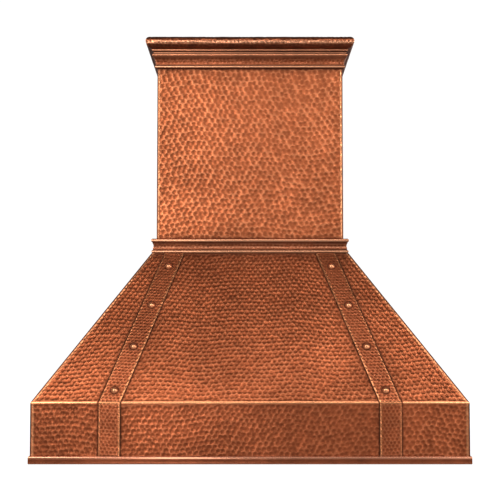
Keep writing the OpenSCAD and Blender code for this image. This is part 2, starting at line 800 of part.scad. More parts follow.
// Forward-curved wheel: blades between two rings and a middle disc on a hub
module blower_wheel() {
    inner = wheel_r - 15;
    disc_t = 2;
    hub_r = 14;
    color(steel) on_wheel_axis() {
        difference() {
            union() {
                translate([0, 0, -wheel_half]) linear_extrude(2 * wheel_half)
                    for (i = [0:blade_count - 1]) rotate(360 * i / blade_count)
                        polygon([[inner, -1], [inner + 7, 1.6], [wheel_r - 1, 7], [wheel_r - 1, 8.2],
                                 [inner + 7, 2.8], [inner, 0]]);
                for (z = [-wheel_half, wheel_half - 3]) translate([0, 0, z]) difference() {
                    cylinder(r = wheel_r, h = 3, $fn = 72);
                    translate([0, 0, -1]) cylinder(r = inner + 3, h = 5, $fn = 72);
                }
                translate([0, 0, -disc_t / 2]) cylinder(r = wheel_r, h = disc_t, $fn = 72);
                translate([0, 0, -12]) cylinder(r = hub_r, h = 24);
            }
            translate([0, 0, -20]) cylinder(r = shaft_r, h = 40);
        }
    }
}

module motor_shaft() {
    color(steel) on_wheel_axis() translate([0, 0, -14]) cylinder(r = shaft_r, h = 150);
}

// Motor can inside the right-hand inlet, bored for its shaft
module motor() {
    color(dark) on_wheel_axis() difference() {
        union() {
            translate([0, 0, 26]) cylinder(r = motor_r, h = 90, $fn = 72);
            translate([0, 0, 20]) cylinder(r = 18, h = 102);
            for (a = [0:30:330]) rotate(a) translate([motor_r - 1, -1.5, 34]) cube([4, 3, 60]);
        }
        translate([0, 0, 10]) cylinder(r = shaft_r + running, h = 130);
    }
}

// Three-armed plate that carries the motor on the scroll's right end
module motor_bracket() {
    arm = [inlet_r + 12 - motor_r - 2, 18];
    color(dark) on_wheel_axis() translate([0, 0, scroll_w / 2]) {
        difference() {
            cylinder(r = motor_r + 5, h = 3, $fn = 72);
            translate([0, 0, -1]) cylinder(r = motor_r, h = 5, $fn = 72);
        }
        for (a = [0, 120, 240]) rotate(a) translate([motor_r + 2, -arm[1] / 2, 0]) cube([arm[0], arm[1], 3]);
    }
}

module capacitor() {
    color("ivory") translate([-(box_x - liner_t) + 22, -90, 250]) {
        cylinder(r = 20, h = 70);
        for (y = [-6, 6]) translate([-1, y - 3, 70]) cube([1.5, 6, 9]);
        translate([-22, -10, 20]) cube([22, 20, 1.6]);
    }
}

// ---------- Duct and electrics ----------

// Round collar on the blower box, with stops and bearing holes for the damper
module duct_collar() {
    flange_r = collar_out + 20;
    color(steel) translate([0, 0, box_top]) difference() {
        union() {
            cylinder(r = flange_r, h = 1.6, $fn = 96);
            cylinder(r = collar_out, h = 68, $fn = 96);
        }
        difference() {
            translate([0, 0, -1]) cylinder(r = collar_r, h = 80, $fn = 96);
            both_x() translate([collar_r - 5, -8, damper_z - box_top - 5]) cube([10, 16, 4]);
        }
        both_x() translate([damper_rod_x, 0, damper_z - box_top]) rotate([90, 0, 0])
            translate([0, 0, -120]) cylinder(r = damper_rod_r + running, h = 240, $fn = 24);
    }
}

// Half-round flap on its own rod; the left one is drawn
module damper_flap() {
    flap_t = 0.9;
    flap_r = collar_r - 1.5;
    color(steel) translate([0, 0, damper_z]) {
        difference() {
            translate([0, 0, -flap_t / 2]) cylinder(r = flap_r, h = flap_t, $fn = 96);
            translate([-damper_rod_x, -flap_r - 1, -2]) cube([2 * flap_r, 2 * flap_r + 2, 4]);
        }
        translate([-damper_rod_x, 0, 0]) rotate([90, 0, 0])
            translate([0, 0, -collar_out - 1.5]) cylinder(r = damper_rod_r, h = 2 * collar_out + 3, $fn = 24);
    }
}

// Straight duct slipped over the collar, with a bell end under the ceiling
module exhaust_duct() {
    bell_z = duct_top - bell_l;
    color(steel) translate([0, 0, 0]) rotate_extrude($fn = 96)
        polygon([[duct_r, duct_bottom], [duct_r + duct_t, duct_bottom], [duct_r + duct_t, bell_z - 6],
                 [bell_r + duct_t, bell_z], [bell_r + duct_t, duct_top], [bell_r, duct_top],
                 [bell_r, bell_z], [duct_r, bell_z - 6]]);
}

// Steel wiring box standing on the blower box, with a knockout hole for the supply in its top
module junction_box() {
    color(steel) difference() {
        translate([-jb_x - jb_size[0], -jb_size[1] / 2, box_top]) difference() {
            cube(jb_size);
            translate([-1, 1.2, 1.2]) cube([jb_size[0] - 0.2, jb_size[1] - 2.4, jb_size[2] - 2.4]);
        }
        translate([supply_x, supply_y, box_top + jb_size[2] - 5]) cylinder(r = knockout_r, h = 10);
        translate([supply_x, -supply_y, box_top + jb_size[2] - 5]) cylinder(r = 8, h = 10);
    }
}

module junction_box_cover() {
    color(steel) translate([-jb_x - jb_size[0] - 1.5, -jb_size[1] / 2, box_top]) {
        cube([1.5, jb_size[1], jb_size[2]]);
        for (y = [12, jb_size[1] - 12]) translate([-2, y, jb_size[2] / 2]) rotate([0, 90, 0])
            cylinder(r = 3.4, h = 2, $fn = 24);
    }
}

// Plastic bushing in the box's second hole, where the motor and lamp leads leave
module cable_bushing() {
    color("black") translate([supply_x, -supply_y, box_top + jb_size[2]])
        difference() {
            union() {
                translate([0, 0, -1.2]) cylinder(r = 8, h = 2);
                cylinder(r = 10.5, h = 3);
                translate([0, 0, -4]) cylinder(r = 7.4, h = 4);
            }
            translate([0, 0, -6]) cylinder(r = 5, h = 12);
        }
}

// ---------- Drawing, hung from the ceiling plane ----------

filter_step = filter_w + filter_gap;

translate([0, 0, -hood_h]) {
    canopy_long_side();  // canopy_front_panel
    mirror([0, 1, 0]) canopy_long_side();  // canopy_back_panel
    canopy_short_side();  // canopy_left_panel
    mirror([1, 0, 0]) canopy_short_side();  // canopy_right_panel
    bottom_rim();
    strap(-1);  // front_left_strap
    strap(1);  // front_right_strap
    mirror([0, 1, 0]) strap(-1);  // back_left_strap
    mirror([0, 1, 0]) strap(1);  // back_right_strap
    strap_rivets();  // front_strap_rivets
    mirror([0, 1, 0]) strap_rivets();  // back_strap_rivets
    collar_moulding();
    chimney_half();  // chimney_front_half
    mirror([0, 1, 0]) chimney_half();  // chimney_back_half
    crown_moulding();
    ceiling_plate();
    rotate([0, 0, 180]) post();  // post_front_left
    mirror([0, 1, 0]) post();  // post_front_right
    mirror([1, 0, 0]) post();  // post_back_left
    post();  // post_back_right
    lower_frame();
    frame_bolts();
    hanger_rods();
    liner_pan();
    plenum_box();
    liner_screws();
    filter_frame(-filter_step);  // filter_frame_left
    filter_frame(0);  // filter_frame_middle
    filter_frame(filter_step);  // filter_frame_right
    filter_baffles(-filter_step);  // filter_baffles_left
    filter_baffles(0);  // filter_baffles_middle
    filter_baffles(filter_step);  // filter_baffles_right
    filter_handle(-filter_step);  // filter_handle_left
    filter_handle(0);  // filter_handle_middle
    filter_handle(filter_step);  // filter_handle_right
    filter_hinge_rod();
    magnet_catches();
    lamp_cans();
    lamp_bezels();
    lamp_lenses();
    control_plate();
    switch_bodies();
    rocker(rocker_places[1]);  // fan_rocker
    rocker(rocker_places[0]);  // light_rocker
    speed_knob();
    blower_box();
    blower_scroll();
    blower_wheel();
    motor_shaft();
    motor();
    motor_bracket();
    capacitor();
    duct_collar();
    damper_flap();  // damper_flap_left
    mirror([1, 0, 0]) damper_flap();  // damper_flap_right
    exhaust_duct();
    junction_box();
    junction_box_cover();
    cable_bushing();
}
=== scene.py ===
"""Looks of the hammered copper island hood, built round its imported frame."""

import json
import math

import bmesh
import bpy
import numpy as np
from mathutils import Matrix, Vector


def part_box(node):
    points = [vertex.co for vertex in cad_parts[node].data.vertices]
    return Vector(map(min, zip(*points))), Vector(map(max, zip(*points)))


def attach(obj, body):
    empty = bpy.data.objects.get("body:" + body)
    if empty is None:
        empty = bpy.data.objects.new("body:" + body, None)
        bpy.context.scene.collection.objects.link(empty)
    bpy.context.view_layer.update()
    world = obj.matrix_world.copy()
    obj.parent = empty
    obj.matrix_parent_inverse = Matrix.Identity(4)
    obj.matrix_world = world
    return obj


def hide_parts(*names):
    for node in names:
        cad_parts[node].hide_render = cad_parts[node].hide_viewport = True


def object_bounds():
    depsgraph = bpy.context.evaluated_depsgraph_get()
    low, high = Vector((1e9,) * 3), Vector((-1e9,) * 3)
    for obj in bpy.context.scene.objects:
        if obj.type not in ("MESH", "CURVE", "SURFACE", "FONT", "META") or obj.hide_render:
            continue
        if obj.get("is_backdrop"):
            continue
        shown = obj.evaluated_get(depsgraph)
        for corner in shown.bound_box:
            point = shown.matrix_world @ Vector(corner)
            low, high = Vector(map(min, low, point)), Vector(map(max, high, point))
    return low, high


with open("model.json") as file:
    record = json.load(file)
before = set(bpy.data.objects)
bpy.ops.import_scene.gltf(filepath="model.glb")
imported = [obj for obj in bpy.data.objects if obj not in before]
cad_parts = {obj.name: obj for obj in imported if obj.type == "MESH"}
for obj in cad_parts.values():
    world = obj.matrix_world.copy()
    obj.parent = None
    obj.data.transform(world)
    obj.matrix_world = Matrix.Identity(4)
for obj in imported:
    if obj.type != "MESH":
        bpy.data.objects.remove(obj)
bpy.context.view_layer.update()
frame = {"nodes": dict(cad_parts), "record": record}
nodes = frame["nodes"]
MM = 0.001


# ---------- Camera ----------

def make_camera():
    """A long lens in front of the hood, a little above its rim and tilted up slightly."""
    rim_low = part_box("bottom_rim")[0]
    distance = 2.052
    eye_above_rim = 0.2812
    tilt = math.radians(2.5)
    data = bpy.data.cameras.new("camera")
    data.lens = 61.2
    data.sensor_width = 36
    data.shift_y = 0.12
    data.clip_start = 0.05
    data.clip_end = 60
    camera = bpy.data.objects.new("camera", data)
    camera.location = (0, rim_low.y - distance, rim_low.z + eye_above_rim)
    camera.rotation_euler = (math.radians(90) + tilt, 0, 0)
    bpy.context.scene.collection.objects.link(camera)
    bpy.context.scene.camera = camera


make_camera()


# ---------- Reading the frame ----------

def cad_points(node):
    """All vertices of a CAD node as an array."""
    mesh = nodes[node].data
    found = np.zeros(len(mesh.vertices) * 3, np.float32)
    mesh.vertices.foreach_get("co", found)
    return found.reshape(-1, 3).astype(float)


def at(points, axis, value, within=2e-5):
    """The points that lie at one value of an axis."""
    return points[np.abs(points[:, axis] - value) < within]


def welded(node):
    """A CAD node's mesh in bmesh, with split vertices joined."""
    bm = bmesh.new()
    bm.from_mesh(nodes[node].data)
    bmesh.ops.remove_doubles(bm, verts=bm.verts, dist=2e-6)
    return bm


def corner_profile(node):
    """Ordered profile of a mitred ring at its front left mitre: half width, half depth and height."""
    bm = welded(node)
    corner = [v for v in bm.verts if v.co.x < 0 and v.co.y < 0]
    inside = set(corner)
    start = min(corner, key=lambda v: (round(v.co.z, 6), -v.co.x))
    loop = [start]
    before = None
    while True:
        near = [e.other_vert(loop[-1]) for e in loop[-1].link_edges]
        near = [v for v in near if v in inside and v is not before and v is not loop[-1]]
        nearest = min(near, key=lambda v: (v.co - loop[-1].co).length)
        if len(loop) > 2 and start in near:
            break
        before = loop[-1]
        loop.append(nearest)
        if len(loop) > len(corner):
            break
    points = np.array([[-v.co.x, -v.co.y, v.co.z] for v in loop])
    bm.free()
    return points


def islands(node):
    """Lowest and highest corners of each of a node's separate solids."""
    bm = welded(node)
    left = set(bm.verts)
    boxes = []
    while left:
        stack = [left.pop()]
        found = [stack[0].co.copy()]
        while stack:
            v = stack.pop()
            for e in v.link_edges:
                other = e.other_vert(v)
                if other in left:
                    left.discard(other)
                    stack.append(other)
                    found.append(other.co.copy())
        box_low = Vector((min(p.x for p in found), min(p.y for p in found), min(p.z for p in found)))
        box_high = Vector((max(p.x for p in found), max(p.y for p in found), max(p.z for p in found)))
        boxes.append((box_low, box_high))
    bm.free()
    return sorted(boxes, key=lambda b: (b[0].x, b[0].z))


# ---------- Hammered sheet ----------

def smooth(x):
    """A soft step from 0 to 1."""
    x = np.clip(x, 0, 1)
    return x * x * (3 - 2 * x)


def spread(length, step):
    """Places along a length in metres, closer together near both ends."""
    near = np.array([0, 0.6, 1.3, 2.1, 3.2, 4.6]) * MM
    if length < 5 * near[-1]:
        return np.linspace(0, length, max(3, round(length / step) + 1))
    count = max(2, round((length - 2 * near[-1]) / step))
    middle = np.linspace(near[-1], length - near[-1], count + 1)
    return np.concatenate([near[:-1], middle, length - near[-2::-1]])


def hammer_marks(u, v, pitch, radius, seed, loose=1.0):
    """Depth of round hammer marks, 0 to 1, laid in wavy staggered rows over surface places u, v."""
    rng = np.random.default_rng(seed)
    size = 61
    slip = rng.uniform(-0.15, 0.15, (2, size, size)) * pitch * loose
    reach = radius * rng.uniform(0.84, 1.1, (size, size))
    force = rng.uniform(0.7, 1.1, (size, size))
    phase = rng.uniform(0, 6.28, 4)
    sway = loose * pitch
    wavy_v = v + 0.34 * sway * np.sin(u / (5.3 * pitch) + phase[0])
    wavy_v = wavy_v + 0.2 * sway * np.sin(u / (2.1 * pitch) + phase[1])
    wavy_u = u + 0.3 * sway * np.sin(v / (4.1 * pitch) + phase[2])
    wavy_u = wavy_u + 0.2 * sway * np.sin(v / (1.9 * pitch) + phase[3])
    row_step = 0.87 * pitch
    row = np.floor(wavy_v / row_step).astype(int)
    deepest = np.zeros_like(u)
    for below in (-1, 0, 1, 2):
        r = row + below
        stagger = 0.5 * pitch * (r % 2)
        column = np.floor((wavy_u - stagger) / pitch).astype(int)
        for beside in (-1, 0, 1, 2):
            c = column + beside
            pick = (r % size, c % size)
            du = wavy_u - (c * pitch + stagger + slip[0][pick])
            dv = wavy_v - (r * row_step + slip[1][pick])
            bowl = np.clip(1 - (du * du + dv * dv) / reach[pick] ** 2, 0, 1)
            deepest = np.maximum(deepest, bowl * force[pick])
    return deepest


def rounded(points, corner, radius, steps=4):
    """A polyline with one corner turned into an arc."""
    a, b, c = points[corner - 1], points[corner], points[corner + 1]
    into = (b - a) / np.linalg.norm(b - a)
    out = (c - b) / np.linalg.norm(c - b)
    turn = math.acos(float(np.clip(into @ out, -1, 1)))
    back = radius * math.tan(turn / 2)
    start, end = b - into * back, b + out * back
    arc = [(1 - t) ** 2 * start + 2 * t * (1 - t) * b + t * t * end for t in np.linspace(0, 1, steps + 1)]
    return np.vstack([points[:corner], arc, points[corner + 1:]])


def resampled(points, step):
    """A polyline with its long segments divided, closer together near sharp corners."""
    out = [points[0]]
    for a, b in zip(points[:-1], points[1:]):
        length = np.linalg.norm(b - a)
        if length > 24 * MM:
            places = spread(length, step)
        else:
            places = np.linspace(0, length, max(2, math.ceil(length / step) + 1))
        out.extend(a + (b - a) * (p / length) for p in places[1:])
    return np.array(out)


def along(points):
    """Running length of a polyline at each of its points."""
    return np.concatenate([[0], np.cumsum(np.linalg.norm(np.diff(points, axis=0), axis=1))])


def bending(points):
    """Outward normal of a polyline in its own plane, and its bend: above 0 where it is convex."""
    steps = np.diff(points, axis=0)
    lengths = np.linalg.norm(steps, axis=1)
    heading = np.arctan2(steps[:, 1], steps[:, 0])
    turn = np.diff(heading)
    turn = (turn + np.pi) % (2 * np.pi) - np.pi
    mean = heading[:-1] + turn / 2
    mean = np.concatenate([[heading[0]], mean, [heading[-1]]])
    normal = np.column_stack([np.sin(mean), -np.cos(mean)])
    bend = turn / (0.5 * (lengths[:-1] + lengths[1:]))
    return normal, np.concatenate([[0], bend, [0]])


def blurred(values, places, width):
    """Values at places along a line, spread by a bell of the given width."""
    bell_area = 1.77
    reach = np.exp(-((places[:, None] - places[None, :]) / width) ** 2)
    gaps = np.gradient(places)
    return (reach * (values * gaps)[None, :]).sum(1) / width / bell_area


def copper_piece(name, vertices, faces, masks, replaced, slot_name, sharp_above):
    """A copper piece on the hood's body, with its masks, that stands for a CAD node."""
    mesh = bpy.data.meshes.new(name)
    mesh.from_pydata(vertices, [], faces)
    bm = bmesh.new()
    bm.from_mesh(mesh)
    bmesh.ops.recalc_face_normals(bm, faces=bm.faces)
    bm.to_mesh(mesh)
    bm.free()
    for key, values in masks.items():
        layer = mesh.attributes.new(key, "FLOAT", "POINT")
        layer.data.foreach_set("value", values.astype(np.float32).ravel())
    mesh.shade_smooth()
    mesh.set_sharp_from_angle(angle=math.radians(sharp_above))
    piece = bpy.data.objects.new(name, mesh)
    bpy.context.scene.collection.objects.link(piece)
    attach(piece, "hood")
    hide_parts(replaced)
    mesh.materials.append(materials[slot_name])


def swept(name, grid, ring, masks, replaced, slot_name):
    """A closed skin over a grid of rows and columns. Rows close on themselves; a ring's columns do too."""
    rows, columns = grid.shape[:2]
    index = np.arange(rows * columns).reshape(rows, columns)
    up = np.roll(index, -1, axis=0)
    if ring:
        right, up_right = np.roll(index, -1, axis=1), np.roll(up, -1, axis=1)
        here = index
    else:
        right, up_right = index[:, 1:], up[:, 1:]
        here, up = index[:, :-1], up[:, :-1]
    faces = np.stack([here, right, up_right, up], axis=-1).reshape(-1, 4).tolist()
    if not ring:
        faces.append(index[:, 0].tolist())
        faces.append(index[::-1, -1].tolist())
    copper_piece(name, grid.reshape(-1, 3), faces, masks, replaced, slot_name, 52)


def frame_of_canopy():
    """The canopy's own sizes, read from its panels."""
    low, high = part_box("canopy_front_panel")
    points = cad_points("canopy_front_panel")
    face = at(points, 1, low.y)
    top = at(points, 2, high.z)
    side_foot = np.round(at(cad_points("canopy_left_panel"), 2, low.z), 6)
    return {
        "x": high.x, "y": -low.y, "foot": low.z, "fold": face[:, 2].max(), "top": high.z,
        "top_x": np.abs(top[:, 0]).max(), "top_y": -top[:, 1].min(),
        "sheet": float(abs(low.y) - np.abs(side_foot[:, 1]).min()),
    }


# ---------- Finishes ----------

def add(tree, kind, inputs=None, **settings):
    """A new node with its settings, and each input set to a value or linked to a socket."""
    made = tree.nodes.new(kind)
    for key, value in settings.items():
        setattr(made, key, value)
    for key, value in (inputs or {}).items():
        if isinstance(value, bpy.types.NodeSocket):
            tree.links.new(value, made.inputs[key])
        else:
            made.inputs[key].default_value = value
    return made


def calc(tree, operation, a, b=0.0, c=0.0):
    """The result of one sum on values or sockets."""
    return add(tree, "ShaderNodeMath", {0: a, 1: b, 2: c}, operation=operation).outputs[0]


def blend(tree, share, a, b, mode="MIX"):
    """A colour between a and b."""
    a = a if isinstance(a, bpy.types.NodeSocket) else (*a[:3], 1)
    b = b if isinstance(b, bpy.types.NodeSocket) else (*b[:3], 1)
    made = add(tree, "ShaderNodeMix", {0: share, 6: a, 7: b}, data_type="RGBA", blend_type=mode)
    return made.outputs[2]


def fit(tree, value, low, high, to_low=0.0, to_high=1.0):
    """A value carried from one range to another, softly and within its ends."""
    inputs = {"Value": value, "From Min": low, "From Max": high, "To Min": to_low, "To Max": to_high}
    return add(tree, "ShaderNodeMapRange", inputs, interpolation_type="SMOOTHSTEP").outputs["Result"]


def cloud(tree, place, scale, detail=2.0, rough=0.5):
    """Soft noise from 0 to 1."""
    inputs = {"Vector": place, "Scale": scale, "Detail": detail, "Roughness": rough}
    return add(tree, "ShaderNodeTexNoise", inputs).outputs[0]


def effect(name, takes, gives):
    """An empty shader node group with named inputs and outputs: (tree, input node, output node)."""
    tree = bpy.data.node_groups.new(name, "ShaderNodeTree")
    for key, (kind, value) in takes.items():
        socket = tree.interface.new_socket(name=key, in_out="INPUT", socket_type="NodeSocket" + kind)
        socket.default_value = (*value, 1) if kind == "Color" else value
    for key, kind in gives.items():
        tree.interface.new_socket(name=key, in_out="OUTPUT", socket_type="NodeSocket" + kind)
    return tree, tree.nodes.new("NodeGroupInput"), tree.nodes.new("NodeGroupOutput")


def patina_and_light_effect():
    """Copper aged dark in its hollows and bright on its ridges; wear and painted highlights lighten it, and
    painted shade by trim and in creases, with some dirt, darkens it.
    """
    takes = {
        "Mark": ("Float", 0.0), "WearAndHighlight": ("Float", 0.0), "ShadeAndGrime": ("Float", 0.0),
        "Hollow": ("Color", (0.2, 0.08, 0.04)), "Face": ("Color", (0.4, 0.18, 0.1)),
        "Ridge": ("Color", (0.7, 0.36, 0.22)), "Burnished": ("Color", (0.95, 0.6, 0.4)),
        "ShadeAndDirt": ("Color", (0.035, 0.013, 0.008)), "Unevenness": ("Float", 0.25), "Dullness": ("Float", 0.25),
    }
    tree, given, out = effect("patina_and_painted_light", takes, {"Color": "Color", "Roughness": "Float", "Height": "Float"})
    g = given.outputs
    place = add(tree, "ShaderNodeTexCoord").outputs["Object"]
    broad = cloud(tree, place, 7.0, 3.0)
    patch = cloud(tree, place, 38.0, 3.0)
    fine = cloud(tree, place, 240.0, 3.0, 0.6)
    speck = cloud(tree, place, 900.0, 2.0, 0.6)
    drift = calc(tree, "MULTIPLY_ADD", calc(tree, "SUBTRACT", patch, 0.5), 0.55, g["Mark"])
    drift = calc(tree, "MULTIPLY_ADD", calc(tree, "SUBTRACT", fine, 0.5), 0.5, drift)
    color = blend(tree, fit(tree, drift, 0.0, 0.3), g["Ridge"], g["Face"])
    color = blend(tree, fit(tree, drift, 0.25, 0.95), color, g["Hollow"])
    tone = calc(tree, "MULTIPLY_ADD", calc(tree, "SUBTRACT", broad, 0.5), 1.3, patch)
    tone = fit(tree, tone, 0.2, 0.8, -1.0, 1.0)
    tone = calc(tree, "MULTIPLY_ADD", tone, g["Unevenness"], 1.0)
    tone = calc(tree, "MULTIPLY_ADD", calc(tree, "SUBTRACT", speck, 0.5), 0.3, tone)
    shade = add(tree, "ShaderNodeCombineColor", {0: tone, 1: tone, 2: tone}).outputs[0]
    color = blend(tree, 1.0, color, shade, "MULTIPLY")
    # Painted highlight with some real wear: this share lightens the colour towards bright copper.
    wear_and_highlight_share = calc(tree, "MULTIPLY", g["WearAndHighlight"], fit(tree, fine, 0.25, 0.6, 0.85, 1.0))
    color = blend(tree, wear_and_highlight_share, color, g["Burnished"])
    # Painted shade with some dirt: this share darkens the colour towards near black.
    shade_and_dirt = calc(tree, "MULTIPLY", g["ShadeAndGrime"], fit(tree, patch, 0.2, 0.7, 1.0, 0.85))
    color = blend(tree, shade_and_dirt, color, g["ShadeAndDirt"])
    rough = calc(tree, "MULTIPLY_ADD", drift, 0.08, g["Dullness"])
    rough = calc(tree, "MULTIPLY_ADD", fine, 0.12, rough)
    rough = calc(tree, "MULTIPLY_ADD", wear_and_highlight_share, -0.12, rough)
    rough = calc(tree, "MULTIPLY_ADD", shade_and_dirt, 0.25, rough)
    height = calc(tree, "MULTIPLY_ADD", speck, 0.35, calc(tree, "MULTIPLY", fine, 0.65))
    height = calc(tree, "MULTIPLY", height, calc(tree, "MULTIPLY_ADD", wear_and_highlight_share, -0.8, 1.0))
    tree.links.new(color, out.inputs["Color"])
    tree.links.new(rough, out.inputs["Roughness"])
    tree.links.new(height, out.inputs["Height"])
    return tree


def brushed_effect():
    """Fine parallel scratches and faint blotches; Stretch says how the grain runs."""
    takes = {"Stretch": ("Vector", (40.0, 1500.0, 1500.0)), "Blotches": ("Float", 6.0)}
    gives = {"Grain": "Float", "Blotch": "Float", "Smudge": "Float"}
    tree, given, out = effect("brushed_grain", takes, gives)
    place = add(tree, "ShaderNodeTexCoord").outputs["Object"]
    stretched = add(tree, "ShaderNodeMapping", {"Vector": place, "Scale": given.outputs["Stretch"]})
    grain = cloud(tree, stretched.outputs[0], 1.0, 4.0, 0.6)
    tree.links.new(grain, out.inputs["Grain"])
    blotch = cloud(tree, place, given.outputs["Blotches"], 3.0)
    tree.links.new(blotch, out.inputs["Blotch"])
    smudge = cloud(tree, place, 55.0, 3.0, 0.65)
    tree.links.new(smudge, out.inputs["Smudge"])
    return tree


def spangle_effect():
    """The frosty crystal pattern of galvanised or zinc-plated sheet."""
    takes = {"Crystals": ("Float", 110.0)}
    tree, given, out = effect("zinc_spangle", takes, {"Crystal": "Float", "Cloud": "Float", "Speck": "Float"})
    place = add(tree, "ShaderNodeTexCoord").outputs["Object"]
    crystal = add(tree, "ShaderNodeTexVoronoi", {"Vector": place, "Scale": given.outputs["Crystals"]})
    shades = add(tree, "ShaderNodeSeparateColor", {0: crystal.outputs["Color"]})
    tree.links.new(shades.outputs[0], out.inputs["Crystal"])
    tree.links.new(cloud(tree, place, 9.0, 3.0), out.inputs["Cloud"])
    tree.links.new(cloud(tree, place, 1300.0, 2.0), out.inputs["Speck"])
    return tree


def coating_effect():
    """The slight orange peel, dust and rubbed places of paint, powder coat or moulded plastic."""
    takes = {"Peel": ("Float", 1400.0)}
    tree, given, out = effect("coating", takes, {"Peel": "Float", "Dust": "Float", "Rub": "Float"})
    place = add(tree, "ShaderNodeTexCoord").outputs["Object"]
    tree.links.new(cloud(tree, place, given.outputs["Peel"], 2.0), out.inputs["Peel"])
    tree.links.new(cloud(tree, place, 24.0, 4.0, 0.6), out.inputs["Dust"])
    tree.links.new(cloud(tree, place, 150.0, 3.0, 0.6), out.inputs["Rub"])
    return tree


PATINA_AND_LIGHT = patina_and_light_effect()
BRUSHED = brushed_effect()
SPANGLE = spangle_effect()
COATING = coating_effect()
materials = {}


def finish_for(name, effect_tree, **values):
    """A new material with its Principled shader and one effect: (tree, shader, effect node)."""
    material = bpy.data.materials.new(name)
    material.use_nodes = True
    tree = material.node_tree
    shader = tree.nodes["Principled BSDF"]
    group = add(tree, "ShaderNodeGroup", node_tree=effect_tree)
    for key, value in values.items():
        socket = group.inputs[key.replace("_", " ")]
        if isinstance(value, bpy.types.NodeSocket):
            tree.links.new(value, socket)
        elif socket.type == "RGBA":
            socket.default_value = (*value, 1)
        else:
            socket.default_value = value
    materials[name] = material
    return tree, shader, group


def relief(tree, shader, height, distance, strength=1.0):
    """Fine relief from a height, in metres at its full."""
    bump = add(tree, "ShaderNodeBump", {"Height": height, "Distance": distance, "Strength": strength})
    tree.links.new(bump.outputs[0], shader.inputs["Normal"])


def copper(name, hollow, face, ridge, burnished_and_highlight, dullness=0.25, unevenness=0.2, metallic=0.94):
    """Aged copper, whose hammer marks, wear with painted highlights, and painted shade with some dirt come
    from the piece.
    """
    tree, shader, group = finish_for(
        name, PATINA_AND_LIGHT, Hollow=hollow, Face=face, Ridge=ridge, Burnished=burnished_and_highlight, Dullness=dullness,
        Unevenness=unevenness)
    # The piece's masks: hammer marks, wear with painted highlights, and painted shade with some dirt.
    for key, layer in (("Mark", "mark"), ("WearAndHighlight", "edge"), ("ShadeAndGrime", "shade_and_grime")):
        found = add(tree, "ShaderNodeAttribute", attribute_name=layer)
        tree.links.new(found.outputs["Fac"], group.inputs[key])
    tree.links.new(group.outputs["Color"], shader.inputs["Base Color"])
    tree.links.new(group.outputs["Roughness"], shader.inputs["Roughness"])
    shader.inputs["Metallic"].default_value = metallic
    relief(tree, shader, group.outputs["Height"], 0.0003, 0.5)


def brushed(name, light, dark, stretch, rough, depth=0.00003):
    """Brushed or ground steel, its grain stretched along one axis."""
    tree, shader, group = finish_for(name, BRUSHED, Stretch=stretch)
    mixed = blend(tree, fit(tree, group.outputs["Grain"], 0.3, 0.7), dark, light)
    tone = fit(tree, group.outputs["Blotch"], 0.25, 0.75, 0.0, 0.25)
    mixed = blend(tree, tone, mixed, [0.8 * x for x in dark])
    tree.links.new(mixed, shader.inputs["Base Color"])
    blur = calc(tree, "MULTIPLY_ADD", group.outputs["Grain"], 0.16, rough - 0.08)
    blur = calc(tree, "MULTIPLY_ADD", fit(tree, group.outputs["Smudge"], 0.5, 0.75), 0.1, blur)
    tree.links.new(blur, shader.inputs["Roughness"])
    shader.inputs["Metallic"].default_value = 1.0
    relief(tree, shader, group.outputs["Grain"], depth)


def zinc(name, light, dark, crystals, rough):
    """Zinc over steel, with spangle and a chalky bloom."""
    tree, shader, group = finish_for(name, SPANGLE, Crystals=crystals)
    mixed = blend(tree, group.outputs["Crystal"], dark, light)
    bloom = fit(tree, group.outputs["Cloud"], 0.5, 0.8, 0.0, 0.35)
    mixed = blend(tree, bloom, mixed, (0.62, 0.64, 0.66))
    tree.links.new(mixed, shader.inputs["Base Color"])
    blur = calc(tree, "MULTIPLY_ADD", group.outputs["Crystal"], 0.14, rough)
    blur = calc(tree, "MULTIPLY_ADD", bloom, 0.5, blur)
    tree.links.new(blur, shader.inputs["Roughness"])
    shader.inputs["Metallic"].default_value = 0.95
    relief(tree, shader, group.outputs["Speck"], 0.00004)


def coated(name, base, dusty, peel, rough, depth=0.00004):
    """Paint, powder coat or moulded plastic with a little dust."""
    tree, shader, group = finish_for(name, COATING, Peel=peel)
    share = fit(tree, group.outputs["Dust"], 0.45, 0.8, 0.0, 0.6)
    mixed = blend(tree, share, base, dusty)
    mixed = blend(tree, fit(tree, group.outputs["Rub"], 0.55, 0.75, 0.0, 0.25), mixed, dusty)
    tree.links.new(mixed, shader.inputs["Base Color"])
    blur = calc(tree, "MULTIPLY_ADD", group.outputs["Rub"], 0.16, rough - 0.08)
    blur = calc(tree, "MULTIPLY_ADD", share, 0.2, blur)
    tree.links.new(blur, shader.inputs["Roughness"])
    relief(tree, shader, group.outputs["Peel"], depth)


def make_coppers():
    """Each copper's hollow, face, ridge and bright wear colours, and its dullness. The bright wear colour
    also paints the highlights.
    """
    copper("canopy_copper",
           (0.33, 0.08, 0.03), (0.42, 0.105, 0.039), (0.64, 0.18, 0.072), (1.0, 0.42, 0.19))
    copper("chimney_copper",
           (0.36, 0.092, 0.034), (0.47, 0.126, 0.047), (0.76, 0.24, 0.1), (1.0, 0.43, 0.2))
    copper("strap_copper",
           (0.28, 0.066, 0.025), (0.42, 0.108, 0.042), (0.56, 0.16, 0.066), (1.0, 0.38, 0.16), 0.22)
    copper("rivet_copper",
           (0.4, 0.11, 0.044), (0.78, 0.24, 0.1), (0.95, 0.37, 0.18), (1.0, 0.42, 0.2), 0.15, 0.08, 0.9)
    copper("moulding_copper",
           (0.26, 0.06, 0.023), (0.4, 0.098, 0.037), (0.6, 0.175, 0.075), (1.0, 0.46, 0.25), 0.18)
    copper("rim_copper",
           (0.24, 0.056, 0.021), (0.31, 0.077, 0.03), (0.4, 0.105, 0.043), (1.0, 0.45, 0.27), 0.22)


